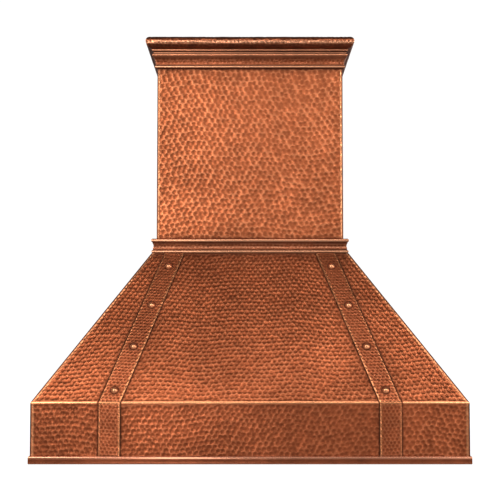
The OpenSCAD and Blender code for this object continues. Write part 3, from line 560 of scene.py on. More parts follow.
def make_finishes():
    """Steels, paints and plastics of the inner parts: light and dark colours, grain and roughness."""
    coated("painted_frame", (0.012, 0.012, 0.013), (0.06, 0.058, 0.055), 1600, 0.45, 0.00006)
    zinc("zinc_plate", (0.62, 0.63, 0.65), (0.42, 0.43, 0.45), 160, 0.3)
    zinc("zinc_fasteners", (0.68, 0.66, 0.56), (0.48, 0.46, 0.38), 700, 0.26)
    brushed("liner_stainless", (0.62, 0.62, 0.62), (0.46, 0.46, 0.47), (30, 1500, 1500), 0.3)
    brushed("filter_frame_stainless", (0.68, 0.68, 0.68), (0.5, 0.5, 0.51), (60, 1700, 1700), 0.26)
    brushed("baffle_stainless", (0.74, 0.74, 0.74), (0.56, 0.56, 0.57), (1700, 50, 1700), 0.22)
    brushed("polished_wire", (0.8, 0.8, 0.8), (0.7, 0.7, 0.7), (200, 900, 900), 0.14, 0.00001)
    coated("magnet", (0.03, 0.03, 0.032), (0.09, 0.085, 0.08), 900, 0.6, 0.0001)
    brushed("lamp_can_metal", (0.6, 0.61, 0.62), (0.45, 0.46, 0.47), (900, 900, 60), 0.42)
    brushed("bezel_chrome", (0.85, 0.85, 0.86), (0.72, 0.72, 0.73), (900, 900, 900), 0.16, 0.00001)
    brushed("fascia_stainless", (0.6, 0.6, 0.6), (0.42, 0.42, 0.43), (25, 1900, 1900), 0.3)
    coated("switch_plastic", (0.02, 0.02, 0.02), (0.05, 0.05, 0.05), 2600, 0.5)
    coated("rocker_plastic", (0.008, 0.008, 0.008), (0.03, 0.03, 0.03), 3000, 0.26, 0.00002)
    coated("knob_plastic", (0.01, 0.01, 0.01), (0.04, 0.04, 0.04), 2600, 0.4)
    zinc("galvanised_sheet", (0.6, 0.62, 0.65), (0.36, 0.38, 0.41), 95, 0.3)
    brushed("wheel_metal", (0.55, 0.56, 0.57), (0.38, 0.39, 0.4), (300, 900, 900), 0.4)
    brushed("shaft_steel", (0.55, 0.55, 0.56), (0.4, 0.4, 0.41), (2400, 200, 200), 0.24)
    coated("motor_paint", (0.02, 0.023, 0.027), (0.08, 0.08, 0.08), 700, 0.36, 0.0001)
    coated("bracket_paint", (0.015, 0.015, 0.016), (0.07, 0.07, 0.07), 1200, 0.42)
    coated("capacitor_case", (0.62, 0.6, 0.53), (0.5, 0.47, 0.4), 2000, 0.35, 0.00002)
    zinc("box_steel", (0.58, 0.59, 0.6), (0.44, 0.45, 0.46), 260, 0.34)
    coated("bushing_plastic", (0.01, 0.01, 0.01), (0.045, 0.045, 0.045), 2600, 0.46)
    tree, shader, group = finish_for("lens_glass", COATING, Peel=900)
    shader.inputs["Base Color"].default_value = (0.95, 0.94, 0.9, 1)
    shader.inputs["Transmission Weight"].default_value = 0.35
    haze = calc(tree, "MULTIPLY_ADD", group.outputs["Rub"], 0.2, 0.34)
    tree.links.new(haze, shader.inputs["Roughness"])
    relief(tree, shader, group.outputs["Peel"], 0.0001)


make_coppers()
make_finishes()


# ---------- Copper shell ----------

CANOPY = frame_of_canopy()
SHEET_STEP = 2.7 * MM
SHEET_DENT = 1.6 * MM
STRAP_STEP = 1.8 * MM
STRAP_DENT = 0.6 * MM
FOLD_RADIUS = 5 * MM
RIVET_SIDES = 28


def fading(distance, reach):
    """1 at a line, fading slowly away from it."""
    return np.exp(-distance / reach)


def bell(distance, reach):
    """1 at a line, with a round fall either side."""
    return np.exp(-(distance / reach) ** 2)


def plateau(distance, reach):
    """1 about a line, with a steep fall at its reach."""
    return np.exp(-(distance / reach) ** 4)


def per_row(values, columns):
    """A grid whose every row holds one of the values."""
    return np.broadcast_to(values[:, None], (len(values), columns))


def turned(grid, turn):
    """A grid of points turned about the hood's middle."""
    cos, sin = math.cos(turn), math.sin(turn)
    return grid @ np.array([[cos, sin, 0], [-sin, cos, 0], [0, 0, 1]])


def standing(x, outline):
    """A grid of points from sideways places and an outline of depth and height."""
    return np.stack([x, per_row(outline[:, 0], x.shape[1]), per_row(outline[:, 1], x.shape[1])], -1)


def inward_of(outline):
    """Directions into the sheet at each point of an outline of depth and height, as x, y and z."""
    normal = -bending(outline)[0]
    return np.stack([np.zeros(len(outline)), -normal[:, 0], -normal[:, 1]], -1)


def with_lining(mark, edge, shade_and_grime, rows, lining_mark, lining_darkening):
    """Masks of a hammered skin, carried on over the plain rows of its lining."""
    # The lining rows are darker by a fixed share.
    plain = np.zeros((rows, mark.shape[1]))
    return {
        "mark": np.concatenate([mark, plain + lining_mark]),
        "edge": np.concatenate([edge, plain]),
        "shade_and_grime": np.concatenate([shade_and_grime, plain + lining_darkening]),
    }


def strap_outline():
    """A strap's half width, and its centre at the rim, the fold and the top, from its CAD node."""
    low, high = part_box("front_right_strap")
    points = cad_points("front_right_strap")
    foot = at(points, 2, low.z)
    head = at(points, 2, high.z)
    half = (foot[:, 0].max() - foot[:, 0].min()) / 2
    return {
        "half": half, "foot_x": foot[:, 0].mean(), "head_x": (head[:, 0].max() + head[:, 0].min()) / 2,
        "low": low.z, "high": high.z, "thick": -low.y - CANOPY["y"],
    }


STRAP = strap_outline()
FRONT_SLOPE = math.atan2(CANOPY["y"] - CANOPY["top_y"], CANOPY["top"] - CANOPY["fold"])
RIVETS = islands("front_strap_rivets")


def strap_centre(z):
    """Sideways place of the right strap's centre line at a height."""
    fold = CANOPY["fold"]
    share = np.clip((z - fold) / (STRAP["high"] - fold), 0, 1)
    return STRAP["foot_x"] + (STRAP["head_x"] - STRAP["foot_x"]) * share


def front_depth(z):
    """Distance of the taper's front from the middle at a height."""
    c = CANOPY
    return c["y"] + (c["top_y"] - c["y"]) * (z - c["fold"]) / (c["top"] - c["fold"])


def panel_outlines(other, top_other):
    """Front and back outlines of a canopy side, each point a depth and a height, and its slope."""
    c = CANOPY
    sheet = c["sheet"]
    lip_depth = -top_other + 12 * MM
    slope = math.atan2(other - top_other, c["top"] - c["fold"])
    inner_fold = c["fold"] - sheet * math.tan(slope / 2)
    inner_top = -top_other + sheet / math.cos(slope) - sheet * math.tan(slope)
    front = np.array([[-other, c["foot"]], [-other, c["fold"]], [-top_other, c["top"]]])
    front = resampled(rounded(front, 1, FOLD_RADIUS), SHEET_STEP)
    back = np.array([
        [lip_depth, c["top"]], [lip_depth, c["top"] - sheet], [inner_top, c["top"] - sheet],
        [-other + sheet, inner_fold], [-other + sheet, c["foot"]]])
    return front, back, slope


def panel_marks(x, run, fold_run, from_side, seed):
    """Hammer marks of a canopy side, coarser on the apron, and none close to its folds and ends."""
    v = per_row(run, x.shape[1])
    apron = hammer_marks(x, v, 13.0 * MM, 6.5 * MM, seed)
    taper = 0.78 * hammer_marks(x, v, 12.4 * MM, 6.1 * MM, seed + 100, 0.8)
    from_fold = np.abs(v - fold_run)
    from_ends = np.minimum(v, run[-1] - v)
    clear = smooth((from_side - 3 * MM) / (5 * MM)) * smooth(from_ends / (4 * MM))
    clear = clear * (0.1 + 0.9 * smooth((from_fold - 3 * MM) / (6 * MM)))
    return np.where(v < fold_run, apron, taper) * clear


def panel_light_and_wear(x, run, fold_run, from_side):
    """Bright and dark shares of a canopy side: painted highlight with wear along the fold and just inside the
    hips, a dark line at each hip, and painted shade by the trim, at the foot, under the fold and towards the
    top.
    """
    v = per_row(run, x.shape[1])
    below = v < fold_run
    from_fold = np.abs(v - fold_run)
    from_top = run[-1] - v
    # Painted highlight, partly wear: a bright line along the fold and one just inside each hip.
    edge = np.maximum(0.9 * bell(from_side - 5.2 * MM, 1.7 * MM), plateau(from_fold, 2.6 * MM))
    # Painted shade, partly a dark seam: a dark line at each hip.
    shade_and_grime = 0.97 * plateau(from_side, 3.0 * MM)
    # Painted shade: by the apron's sides, at the foot, under the fold, and darker towards the top.
    for shade in (
            0.35 * fading(from_side, 16 * MM) * below,
            0.85 * fading(v, 4 * MM) + 0.3 * fading(v, 18 * MM),
            0.5 * fading(from_fold, 9 * MM) * below,
            0.6 * fading(from_top, 9 * MM) + 0.3 * fading(from_top, 60 * MM)):
        shade_and_grime = np.maximum(shade_and_grime, shade)
    return edge, shade_and_grime


def canopy_panel(node, turn, own, other, top_own, top_other, seed, strapped):
    """One hammered side of the canopy. Own is its half width, other its distance from the middle."""
    front, back, slope = panel_outlines(other, top_other)
    sheet = CANOPY["sheet"]
    lip_half = top_own - 12 * MM
    inner_top_half = top_own - sheet / math.cos(slope) + sheet * math.tan(slope)
    back_half = np.array([lip_half, lip_half, inner_top_half, own - sheet, own - sheet])
    half = np.interp(-front[:, 0], [top_other, other], [top_own, own])
    share = spread(2 * own, SHEET_STEP) / own - 1
    x = half[:, None] * share[None, :]
    run = along(front)
    fold_run = np.interp(CANOPY["fold"], front[:, 1], run)
    from_side = (half[:, None] - np.abs(x)) * math.cos(slope)
    mark = panel_marks(x, run, fold_run, from_side, seed)
    edge, shade_and_grime = panel_light_and_wear(x, run, fold_run, from_side)
    z = per_row(front[:, 1], len(share))
    if strapped:
        beyond = np.abs(np.abs(x) - strap_centre(z)) - STRAP["half"]
        mark[beyond < -1 * MM] *= 0.2
        # Painted shadow along each strap's sides, and full painted shade under the strap.
        shadow = 0.65 * bell(beyond, 3.4 * MM) + 0.3 * fading(np.abs(beyond), 14 * MM)
        shade_and_grime = np.maximum(shade_and_grime, np.where(beyond < 0, 1.0, shadow))
        edge = edge * (beyond > 3 * MM)
    shade_and_grime = np.clip(shade_and_grime, 0, 1) * (1 - 0.8 * edge)
    skin = standing(x, front) + (mark * SHEET_DENT)[..., None] * inward_of(front)[:, None, :]
    lining = standing(back_half[:, None] * share[None, :], back)
    grid = turned(np.concatenate([skin, lining]), turn)
    masks = with_lining(mark, edge, shade_and_grime, len(back), 0.5, 0.35)
    swept("hammered_" + node, grid, False, masks, node, "canopy_copper")


def canopy():
    """The four sides. The straps lie on the front and the back."""
    wide = (CANOPY["x"], CANOPY["y"], CANOPY["top_x"], CANOPY["top_y"])
    deep = (CANOPY["y"], CANOPY["x"], CANOPY["top_y"], CANOPY["top_x"])
    canopy_panel("canopy_front_panel", 0, *wide, 11, True)
    canopy_panel("canopy_back_panel", math.pi, *wide, 12, True)
    canopy_panel("canopy_left_panel", -math.pi / 2, *deep, 13, False)
    canopy_panel("canopy_right_panel", math.pi / 2, *deep, 14, False)


def chimney_path(half_x, half_y, seam, radius, inset):
    """The chimney half's outline from above, seam to seam round its two folded corners."""
    side = spread(half_y - radius - seam, SHEET_STEP)
    face = spread(2 * (half_x - radius), SHEET_STEP)
    arc = np.radians(np.linspace(0, 90, 7))[1:-1]
    r = radius - inset
    right = [[half_x - inset, -seam - s] for s in side]
    corner = [[half_x - radius + r * math.cos(a), -half_y + radius - r * math.sin(a)] for a in arc]
    front = [[half_x - radius - s, -half_y + inset] for s in face]
    left_corner = [[-x, y] for x, y in reversed(corner)]
    left = [[-x, y] for x, y in reversed(right)]
    return np.array(right + corner + front + left_corner + left)


def chimney_half(node, turn, seed):
    """Half of the boxed chimney, hammered, with a painted highlight just inside each folded corner, painted
    shade on the corners and by the mouldings, and darker seams.
    """
    low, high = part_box(node)
    half_x = high.x
    half_y = max(abs(low.y), abs(high.y))
    seam = min(abs(low.y), abs(high.y))
    points = cad_points(node)
    points[:, 1] *= -1 if abs(high.y) > abs(low.y) else 1
    radius = half_x - np.abs(at(points, 1, -half_y)[:, 0]).max()
    sheet = half_x - np.abs(at(points, 1, -seam)[:, 0]).min()
    outer = chimney_path(half_x, half_y, seam, radius, 0)
    inner = chimney_path(half_x, half_y, seam, radius, sheet)
    u = along(outer)
    rise = spread(high.z - low.z, SHEET_STEP)
    z = low.z + rise
    uu, vv = np.meshgrid(u, rise)
    corner_run = half_y - radius - seam + radius * math.pi / 4
    from_corner = np.minimum(np.abs(uu - corner_run), np.abs(uu - (u[-1] - corner_run)))
    from_seam = np.minimum(uu, u[-1] - uu)
    clear = smooth((from_corner - 2.5 * MM) / (5 * MM)) * smooth(from_seam / (3 * MM))
    mark = hammer_marks(uu, vv, 14.8 * MM, 7.4 * MM, seed) * clear
    # Painted highlight: a bright line just inside each folded corner.
    edge = bell(from_corner - 4.6 * MM, 1.4 * MM)
    # Painted shade on each folded corner; darker at each seam.
    shade_and_grime = np.maximum(0.6 * fading(from_seam, 1.5 * MM), 0.92 * plateau(from_corner, 2.6 * MM))
    crown_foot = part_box("crown_moulding")[0].z
    collar_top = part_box("collar_moulding")[1].z
    near = np.minimum(np.abs(crown_foot - z), np.abs(z - collar_top))
    shade = 0.75 * fading(near, 3 * MM) + 0.32 * fading(near, 16 * MM)
    shade_and_grime = np.clip(np.maximum(shade_and_grime, shade[:, None]), 0, 1)
    steps = np.gradient(outer, axis=0)
    steps /= np.linalg.norm(steps, axis=1)[:, None]
    inward = np.column_stack([steps[:, 1], -steps[:, 0]])
    toward_middle = ((np.array([0, -seam]) - outer) * inward).sum(1)
    inward[toward_middle < 0] *= -1
    place = outer[None, :, :] + (mark * SHEET_DENT)[..., None] * inward[None, :, :]
    skin = np.concatenate([place, np.broadcast_to(z[:, None, None], (*mark.shape, 1))], -1)
    lining = np.stack([np.column_stack([inner, np.full(len(inner), level)]) for level in (high.z, low.z)])
    grid = turned(np.concatenate([skin, lining]), turn)
    masks = with_lining(mark, edge, shade_and_grime, len(lining), 0.5, 0.3)
    swept("hammered_" + node, grid, False, masks, node, "chimney_copper")


def from_rivets(x, z):
    """Distance from each place on the right strap to the nearest rivet's middle, along the sheet."""
    nearest = np.full(x.shape, 1.0)
    for rivet_low, rivet_high in RIVETS:
        middle = (rivet_low + rivet_high) / 2
        if middle.x > 0:
            nearest = np.minimum(nearest, np.hypot(x - middle.x, (z - middle.z) / math.cos(FRONT_SLOPE)))
    return nearest


def strap(node, flip_x, flip_y, seed):
    """A narrow band lying over the front or back of the canopy: bright lines of wear and painted highlight
    along each long side and the fold, a dark line of painted shade at each side, and painted shade round its
    rivets and at its foot.
    """
    s, c = STRAP, CANOPY
    end_y = front_depth(s["high"])
    face_y = -c["y"] - s["thick"]
    front = np.array([
        [face_y, s["low"]], [face_y, c["fold"] + s["thick"] * math.tan(FRONT_SLOPE / 2)],
        [-end_y - s["thick"] / math.cos(FRONT_SLOPE), s["high"]]])
    front = resampled(rounded(front, 1, FOLD_RADIUS), STRAP_STEP)
    back = np.array([[-end_y, s["high"]], [-c["y"], c["fold"]], [-c["y"], s["low"]]])
    run = along(front)
    across = spread(2 * s["half"], STRAP_STEP) - s["half"]
    x = strap_centre(front[:, 1])[:, None] + across[None, :]
    u = np.broadcast_to(across[None, :], x.shape)
    v = per_row(run, len(across))
    z = per_row(front[:, 1], len(across))
    from_side = s["half"] - np.abs(u)
    from_fold = np.abs(v - np.interp(c["fold"], front[:, 1], run))
    from_rivet = from_rivets(x, z)
    rivet_radius = (RIVETS[0][1].x - RIVETS[0][0].x) / 2
    clear = smooth(from_side / (3.5 * MM)) * smooth((from_rivet - rivet_radius) / (4 * MM))
    clear = clear * smooth(from_fold / (5 * MM)) * smooth((run[-1] - v) / (3 * MM))
    mark = hammer_marks(u, v, 9.6 * MM, 4.6 * MM, seed, 0.45) * clear
    # Painted highlight: the line on the side facing the hood's middle is brighter than the outer one.
    toward_middle = np.where(u < 0, 1.0, 0.55)
    edge = np.maximum(toward_middle * bell(from_side - 2.5 * MM, 1.8 * MM), bell(from_fold, 3 * MM))
    # Painted shade: a dark ring round each rivet, darker at the foot, and a dark line along each side.
    shade_and_grime = np.where(from_rivet < rivet_radius, 1.0, bell(from_rivet - rivet_radius, 2.6 * MM))
    shade_and_grime = np.maximum(shade_and_grime, 0.5 * fading(v, 3 * MM))
    shade_and_grime = np.maximum(shade_and_grime, 0.95 * plateau(from_side, 1.1 * MM))
    rounding = 0.7 * MM * (1 - smooth(from_side / (1.6 * MM)))
    sunk = mark * STRAP_DENT + rounding
    skin = standing(x, front) + sunk[..., None] * inward_of(front)[:, None, :]
    lining = standing(strap_centre(back[:, 1])[:, None] + across[None, :], back)
    grid = np.concatenate([skin, lining]) * np.array([flip_x, flip_y, 1])
    masks = with_lining(mark, edge, shade_and_grime, len(back), 0.6, 0.8)
    swept("hammered_" + node, grid, False, masks, node, "strap_copper")


def moulding_profile(node, step):
    """A moulding's section as stand-off from its wall and height, closed, and its half width and depth."""
    loop = corner_profile(node)
    wall = loop[:, 0].min()
    low_end = min(range(len(loop)), key=lambda i: (round(loop[i, 0] - wall, 5) > 0, loop[i, 2]))
    loop = np.roll(loop, -low_end, axis=0)
    flat = loop[:, [0, 2]] - [wall, 0]
    half = np.array([wall, loop[0, 1]])
    area = np.sum(flat[:, 0] * np.roll(flat[:, 1], -1) - np.roll(flat[:, 0], -1) * flat[:, 1])
    if area < 0:
        flat = np.roll(flat[::-1], 1, axis=0)
    return resampled(np.vstack([flat, flat[:1]]), step), half


def moulding_light_and_wear(profile, normal, bend, run, level, highlight_bands, dark_bands):
    """Bright and dark shares at each point of a moulding's section, from its bends and its level: wear with
    painted highlights, and painted shade, partly aged colour in the creases.
    """
    convex_wear_and_highlight = blurred(np.clip(bend * 2.6 * MM, 0, 1.2), run, 1.6 * MM)
    # Painted shade: darker in the concave bends and on faces turned downwards.
    hollow = blurred(np.clip(-bend * 5.5 * MM, 0, 2.6), run, 2.4 * MM)
    hollow = np.maximum(hollow, 0.85 * smooth((-normal[:, 1] - 0.2) / 0.7))
    convex_wear_and_highlight, hollow = np.clip(convex_wear_and_highlight[:-1], 0, 1), np.clip(hollow[:-1], 0, 1)
    off_wall = smooth((profile[:-1, 0] - 0.2 * MM) / (3 * MM))
    # Painted highlight bands by level, with some wear on outward bends, kept off the dark bands.
    convex_wear_and_highlight = np.maximum(0.4 * convex_wear_and_highlight, highlight_bands(level)) * off_wall * (1 - dark_bands(level))
    hollow = np.maximum(hollow, dark_bands(level))
    return convex_wear_and_highlight, np.clip(hollow, 0, 1), off_wall


def moulding(node, step, pitch, radius, depth, seed, slot_name, marked, highlight_bands, dark_bands):
    """A mitred moulding round the hood, swept along the profile that its CAD node has."""
    low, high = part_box(node)
    profile, half = moulding_profile(node, step)
    normal, bend = bending(profile)
    run = along(profile)
    level = (profile[:-1, 1] - low.z) / (high.z - low.z)
    convex_wear_and_highlight, hollow, off_wall = moulding_light_and_wear(profile, normal, bend, run, level, highlight_bands, dark_bands)
    profile, normal, run = profile[:-1], normal[:-1], run[:-1]
    shown = off_wall * marked(level)
    sharp = np.abs(bend[:-1]) * step > 0.6
    sharp_at = run[sharp] if sharp.any() else np.array([-1.0])
    from_sharp = np.abs(run[:, None] - sharp_at[None, :]).min(1)
    keep = shown * smooth(from_sharp / (2.2 * MM))
    columns = []
    marks = []
    corners = []
    sides = (((0, -1), (1, 0)), ((1, 0), (0, 1)), ((0, 1), (-1, 0)), ((-1, 0), (0, -1)))
    for number, (outward, tangent) in enumerate(sides):
        outward, tangent = np.array(outward), np.array(tangent)
        length = abs(tangent @ half)
        share = (spread(2 * length, step * 1.15) / length - 1)[:-1]
        side = (length + profile[:, 0])[:, None] * share[None, :]
        from_end = (length + profile[:, 0])[:, None] - np.abs(side)
        mark = hammer_marks(side, per_row(run, len(share)), pitch, radius, seed + number) * keep[:, None]
        mark = mark * smooth(from_end / (4 * MM))
        off = (abs(outward @ half) + profile[:, 0])[:, None] - mark * depth * normal[:, 0][:, None]
        x = outward[0] * off + tangent[0] * side
        y = outward[1] * off + tangent[1] * side
        z = profile[:, 1][:, None] - mark * depth * normal[:, 1][:, None]
        columns.append(np.stack([x, y, z], -1))
        marks.append(mark)
        corners.append(bell(from_end - 0.6 * MM, 1.5 * MM))
    mark = np.concatenate(marks, 1)
    # Painted highlight broken up by the hammer marks, and a bright line by each mitre.
    edge = np.maximum(convex_wear_and_highlight[:, None] * (1 - 0.75 * mark), 0.7 * np.concatenate(corners, 1) * shown[:, None])
    masks = {"mark": mark, "edge": edge, "shade_and_grime": per_row(hollow, mark.shape[1])}
    swept("hammered_" + node, np.concatenate(columns, 1), True, masks, node, slot_name)


def rivet_profile(radius, rise, tail, crown):
    """A rivet's half section from its shank to the middle of its dome, each point a radius and a height."""
    thick = STRAP["thick"]
    ball = (radius * radius + rise * rise) / (2 * rise)
    reach = math.asin(radius / ball)
    shank = radius * 0.45
    profile = [(shank, tail), (shank, thick * 0.2), (radius * 0.98, thick)]
    for t in np.linspace(1, 0.06, 12):
        profile.append((ball * math.sin(reach * t), crown - ball + ball * math.cos(reach * t)))
    return profile


def domed_rivets(node, facing):
    """Eight rivets, each a low dome with a slightly flattened, planished crown, with painted highlight and
    wear towards the crown and painted shade round the base.
    """
    cos, sin = math.cos(FRONT_SLOPE), math.sin(FRONT_SLOPE)
    out = Vector((0, facing * cos, sin))
    up = Vector((0, -facing * sin, cos))
    vertices, faces, marks, edges, base_shades = [], [], [], [], []
    for low, high in islands(node):
        middle = (low + high) / 2
        radius = (high.x - low.x) / 2
        seat = Vector((middle.x, facing * front_depth(middle.z), middle.z))
        own = [v.co - seat for v in nodes[node].data.vertices if (v.co - seat).length < 3 * radius]
        crown = max(place.dot(out) for place in own)
        tail = min(place.dot(out) for place in own)
        seat = seat + up * (middle - seat).dot(up)
        profile = rivet_profile(radius, crown - STRAP["thick"], tail, crown)
        base = len(vertices)
        for k, (r, h) in enumerate(profile):
            for i in range(RIVET_SIDES):
                a = 2 * math.pi * i / RIVET_SIDES
                side = Vector((math.cos(a), 0, 0)) + up * math.sin(a)
                vertices.append(seat + side * r + out * h)
                # Darker towards the base of the dome: painted shade.
                marks.append(0.1 + 0.5 * max(0.0, 1 - (k - 3) / 5))
                # Painted highlight with wear, rising towards the crown.
                edges.append(float(smooth((k - 4) / 6.0)) * 0.7 if k > 2 else 0.0)
                # Painted shade: a dark ring round the base of the rivet.
                base_shades.append(0.95 if k <= 3 else 0.55 if k == 4 else 0.0)
        for k in range(len(profile) - 1):
            for i in range(RIVET_SIDES):
                j = (i + 1) % RIVET_SIDES
                a, b = base + k * RIVET_SIDES, base + (k + 1) * RIVET_SIDES
                faces.append([a + i, a + j, b + j, b + i])
        last = base + (len(profile) - 1) * RIVET_SIDES
        faces.append([base + i for i in reversed(range(RIVET_SIDES))])
        faces.append([last + i for i in range(RIVET_SIDES)])
    masks = {"mark": np.array(marks), "edge": np.array(edges), "shade_and_grime": np.array(base_shades)}
    copper_piece("burnished_" + node, vertices, faces, masks, node, "rivet_copper", 60)


def band(level, middle, half):
    """1 in a flat-topped band of heights, falling to 0 either side."""
    return plateau(level - middle, half)


# A moulding's level runs from 0 at its foot to 1 at its top.

def crown_marked(level):
    """The top roll is hammered, and the cove lightly."""
    return np.maximum(smooth((level - 0.64) / 0.03), 0.6 * band(level, 0.24, 0.09))


def crown_highlights(level):
    """Painted highlights on the middle and low beads, the roll's belly and the fillet."""
    beads = np.maximum(0.95 * band(level, 0.465, 0.045), band(level, 0.065, 0.04))
    return np.maximum(beads, np.maximum(0.95 * band(level, 0.775, 0.052), 0.6 * band(level, 0.585, 0.03)))


def crown_shade_bands(level):
    """Painted shade on the roll's top and underside, in the seams and at the cove's head."""
    roll = np.maximum(0.7 * smooth((level - 0.87) / 0.06), 0.75 * band(level, 0.675, 0.045))
    seams = np.maximum(0.95 * band(level, 0.532, 0.018), 0.85 * band(level, 0.125, 0.013))
    return np.maximum(np.maximum(roll, seams), 0.6 * band(level, 0.34, 0.045))


def collar_marked(level):
    """Only the hollow band is hammered."""
    return band(level, 0.48, 0.16)


def collar_highlights(level):
    """Painted highlights on both beads, and a weaker one on the hollow band."""
    beads = np.maximum(band(level, 0.86, 0.09), band(level, 0.125, 0.075))
    return np.maximum(beads, 0.5 * band(level, 0.42, 0.05))


def collar_shade_bands(level):
    """Painted shade in the seam under each bead."""
    return np.maximum(0.9 * band(level, 0.68, 0.04), 0.75 * band(level, 0.285, 0.045))


def rim_highlights(level):
    """Painted highlight, partly wear, along the rim's top, and a weaker one at its foot."""
    return np.maximum(0.95 * band(level, 0.84, 0.12), 0.4 * band(level, 0.07, 0.07))


def rim_dark_band(level):
    """The rim's face is dark."""
    return 0.5 * band(level, 0.5, 0.16)


def unmarked(level):
    """No hammering at any level."""
    return np.zeros_like(level)


def mouldings():
    """The crown, the collar and the rim, each with its own hammering, wear, painted highlight bands and dark
    bands.
    """
    moulding("crown_moulding", 2.0 * MM, 10.5 * MM, 5.2 * MM, 0.8 * MM, 21, "moulding_copper",
             crown_marked, crown_highlights, crown_shade_bands)
    moulding("collar_moulding", 1.8 * MM, 9.5 * MM, 4.6 * MM, 0.5 * MM, 31, "moulding_copper",
             collar_marked, collar_highlights, collar_shade_bands)
    moulding("bottom_rim", 2.2 * MM, 12 * MM, 5.6 * MM, 0.4 * MM, 41, "rim_copper",
             unmarked, rim_highlights, rim_dark_band)


canopy()
chimney_half("chimney_front_half", 0, 51)
chimney_half("chimney_back_half", math.pi, 52)
strap("front_left_strap", -1, 1, 61)
strap("front_right_strap", 1, 1, 62)
strap("back_left_strap", -1, -1, 63)
strap("back_right_strap", 1, -1, 64)
mouldings()
domed_rivets("front_strap_rivets", -1)
domed_rivets("back_strap_rivets", 1)


# ---------- Carried-over CAD nodes ----------

def dress_cad_nodes():
    """Every CAD node that still shows takes the finish of its material slot."""
    for part in frame["record"]["subparts"]:
        piece = nodes[part["node"]]
        if piece.hide_render:
            continue
        piece.data.materials.clear()
        piece.data.materials.append(materials[part["material_slot"]])


dress_cad_nodes()


# ---------- Studio ----------

def make_floor():
    """A wide pale floor, well below the hood, so that filters can swing down clear of it."""
    drop = 0.62
    extent = 14.0
    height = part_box("bottom_rim")[0].z - drop
    bpy.ops.mesh.primitive_grid_add(
        x_subdivisions=8, y_subdivisions=8, size=2 * extent, location=(0, 0, height))
    floor = bpy.context.object
    floor.name = "studio_floor"
    floor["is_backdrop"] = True
    material = bpy.data.materials.new("pale_floor")
    material.use_nodes = True
    tree = material.node_tree
    shader = tree.nodes["Principled BSDF"]
    shader.inputs["Base Color"].default_value = (0.6, 0.6, 0.6, 1)
    shader.inputs["Roughness"].default_value = 0.9
    shader.inputs["Emission Color"].default_value = (1, 1, 1, 1)
    seen = add(tree, "ShaderNodeLightPath").outputs["Is Camera Ray"]
    tree.links.new(calc(tree, "MULTIPLY_ADD", seen, 0.9, 0.1), shader.inputs["Emission Strength"])
    clear = add(tree, "ShaderNodeBsdfTransparent")
    behind = add(tree, "ShaderNodeNewGeometry").outputs["Backfacing"]
    either = add(tree, "ShaderNodeMixShader", {0: behind, 1: shader.outputs[0], 2: clear.outputs[0]})
    tree.links.new(either.outputs[0], tree.nodes["Material Output"].inputs["Surface"])
    floor.data.materials.append(material)


def area_light(name, place, aim, size, brightness, spread=180.0, tint=(1, 1, 1)):
    """A soft box of a given brightness. Below 180 degrees, its grid keeps light in a cone of that spread."""
    half_cone = math.radians(spread / 2)
    gathered = 1.0 if spread == 180.0 else 3.0 / half_cone ** 2
    data = bpy.data.lights.new(name, "AREA")
    data.shape = "RECTANGLE"
    data.size, data.size_y = size
    data.energy = brightness * math.pi * size[0] * size[1] / gathered
    data.spread = 2 * half_cone
    data.color = tint
    lamp = bpy.data.objects.new(name, data)
    lamp.location = place
    lamp.visible_camera = False
    lamp.rotation_euler = (Vector(aim) - Vector(place)).to_track_quat("-Z", "Y").to_euler()
    bpy.context.scene.collection.objects.link(lamp)


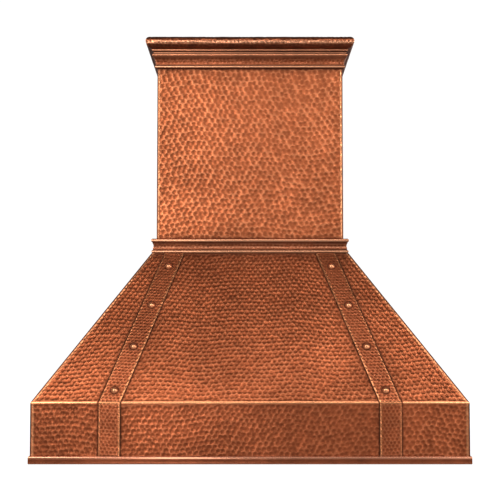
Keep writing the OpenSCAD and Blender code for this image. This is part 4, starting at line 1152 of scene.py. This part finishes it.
def make_studio():
    """A white backdrop behind the hood, a dim room round it that darkens overhead, and soft boxes."""
    world = bpy.data.worlds.new("studio")
    bpy.context.scene.world = world
    world.use_nodes = True
    tree = world.node_tree
    tree.nodes.clear()
    seen = add(tree, "ShaderNodeLightPath").outputs["Is Camera Ray"]
    way = add(tree, "ShaderNodeTexCoord").outputs["Generated"]
    parts = add(tree, "ShaderNodeSeparateXYZ", {0: way})
    height = parts.outputs["Z"]
    level = fit(tree, height, 0.1, 0.9, 0.4, 0.17)
    level = calc(tree, "MULTIPLY", level, fit(tree, parts.outputs["Y"], 0.72, 0.93, 1.0, 0.15))
    room = add(tree, "ShaderNodeBackground", {"Color": (1.0, 0.99, 0.98, 1), "Strength": level})
    white = add(tree, "ShaderNodeBackground", {"Color": (1, 1, 1, 1), "Strength": 1.05})
    either = add(tree, "ShaderNodeMixShader", {0: seen, 1: room.outputs[0], 2: white.outputs[0]})
    out = add(tree, "ShaderNodeOutputWorld", {"Surface": either.outputs[0]})
    out.is_active_output = True
    low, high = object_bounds()
    centre = (low + high) / 2
    chimney = Vector((0, -0.2, high.z - 0.38))
    taper = Vector((0, -0.3, low.z + 0.3))
    apron = Vector((-0.1, low.y, low.z + 0.08))
    crown = Vector((0, -0.26, high.z - 0.05))
    area_light("key_upper_left", (-1.3, -2.4, high.z + 0.6), centre, (0.8, 0.8), 6.8, tint=(1, 0.98, 0.95))
    area_light("key_upper_right", (1.35, -2.4, high.z + 0.7), taper, (0.8, 0.8), 7.5, 70.0)
    area_light("chimney_glow", (-0.58, -3.0, high.z + 0.35), chimney, (0.4, 1.0), 2.2, 70.0)
    area_light("apron_glow", (-0.42, -3.3, low.z - 0.2), apron, (0.4, 0.5), 5.0, 60.0)
    area_light("apron_key", (-1.15, -2.8, low.z + 0.65), apron, (0.5, 0.5), 11.0, 40.0)
    area_light("apron_fill", (1.5, -2.6, low.z + 0.1), (0.3, low.y, low.z + 0.07), (0.9, 0.7), 2.2, 70.0)
    area_light("canopy_glow", (0, -2.6, high.z + 1.7), taper, (2.6, 0.5), 4.3, 60.0)
    area_light("front_line", (-0.1, -2.9, high.z + 0.02), crown, (2.4, 0.12), 4.0, 70.0)
    area_light("crown_line", (-0.05, -1.2, high.z), crown, (0.9, 0.03), 14.0, 14.0)
    area_light("fill_right", (3.0, -1.4, centre.z + 0.3), centre, (1.6, 1.8), 1.8)
    area_light("back_left", (-3.2, 1.7, centre.z + 1.1), centre, (1.8, 1.8), 3.2)
    area_light("back_right", (2.7, 2.4, centre.z + 0.9), centre, (1.6, 1.6), 3.0)
    bpy.context.scene.view_settings.view_transform = "Standard"


make_floor()
make_studio()
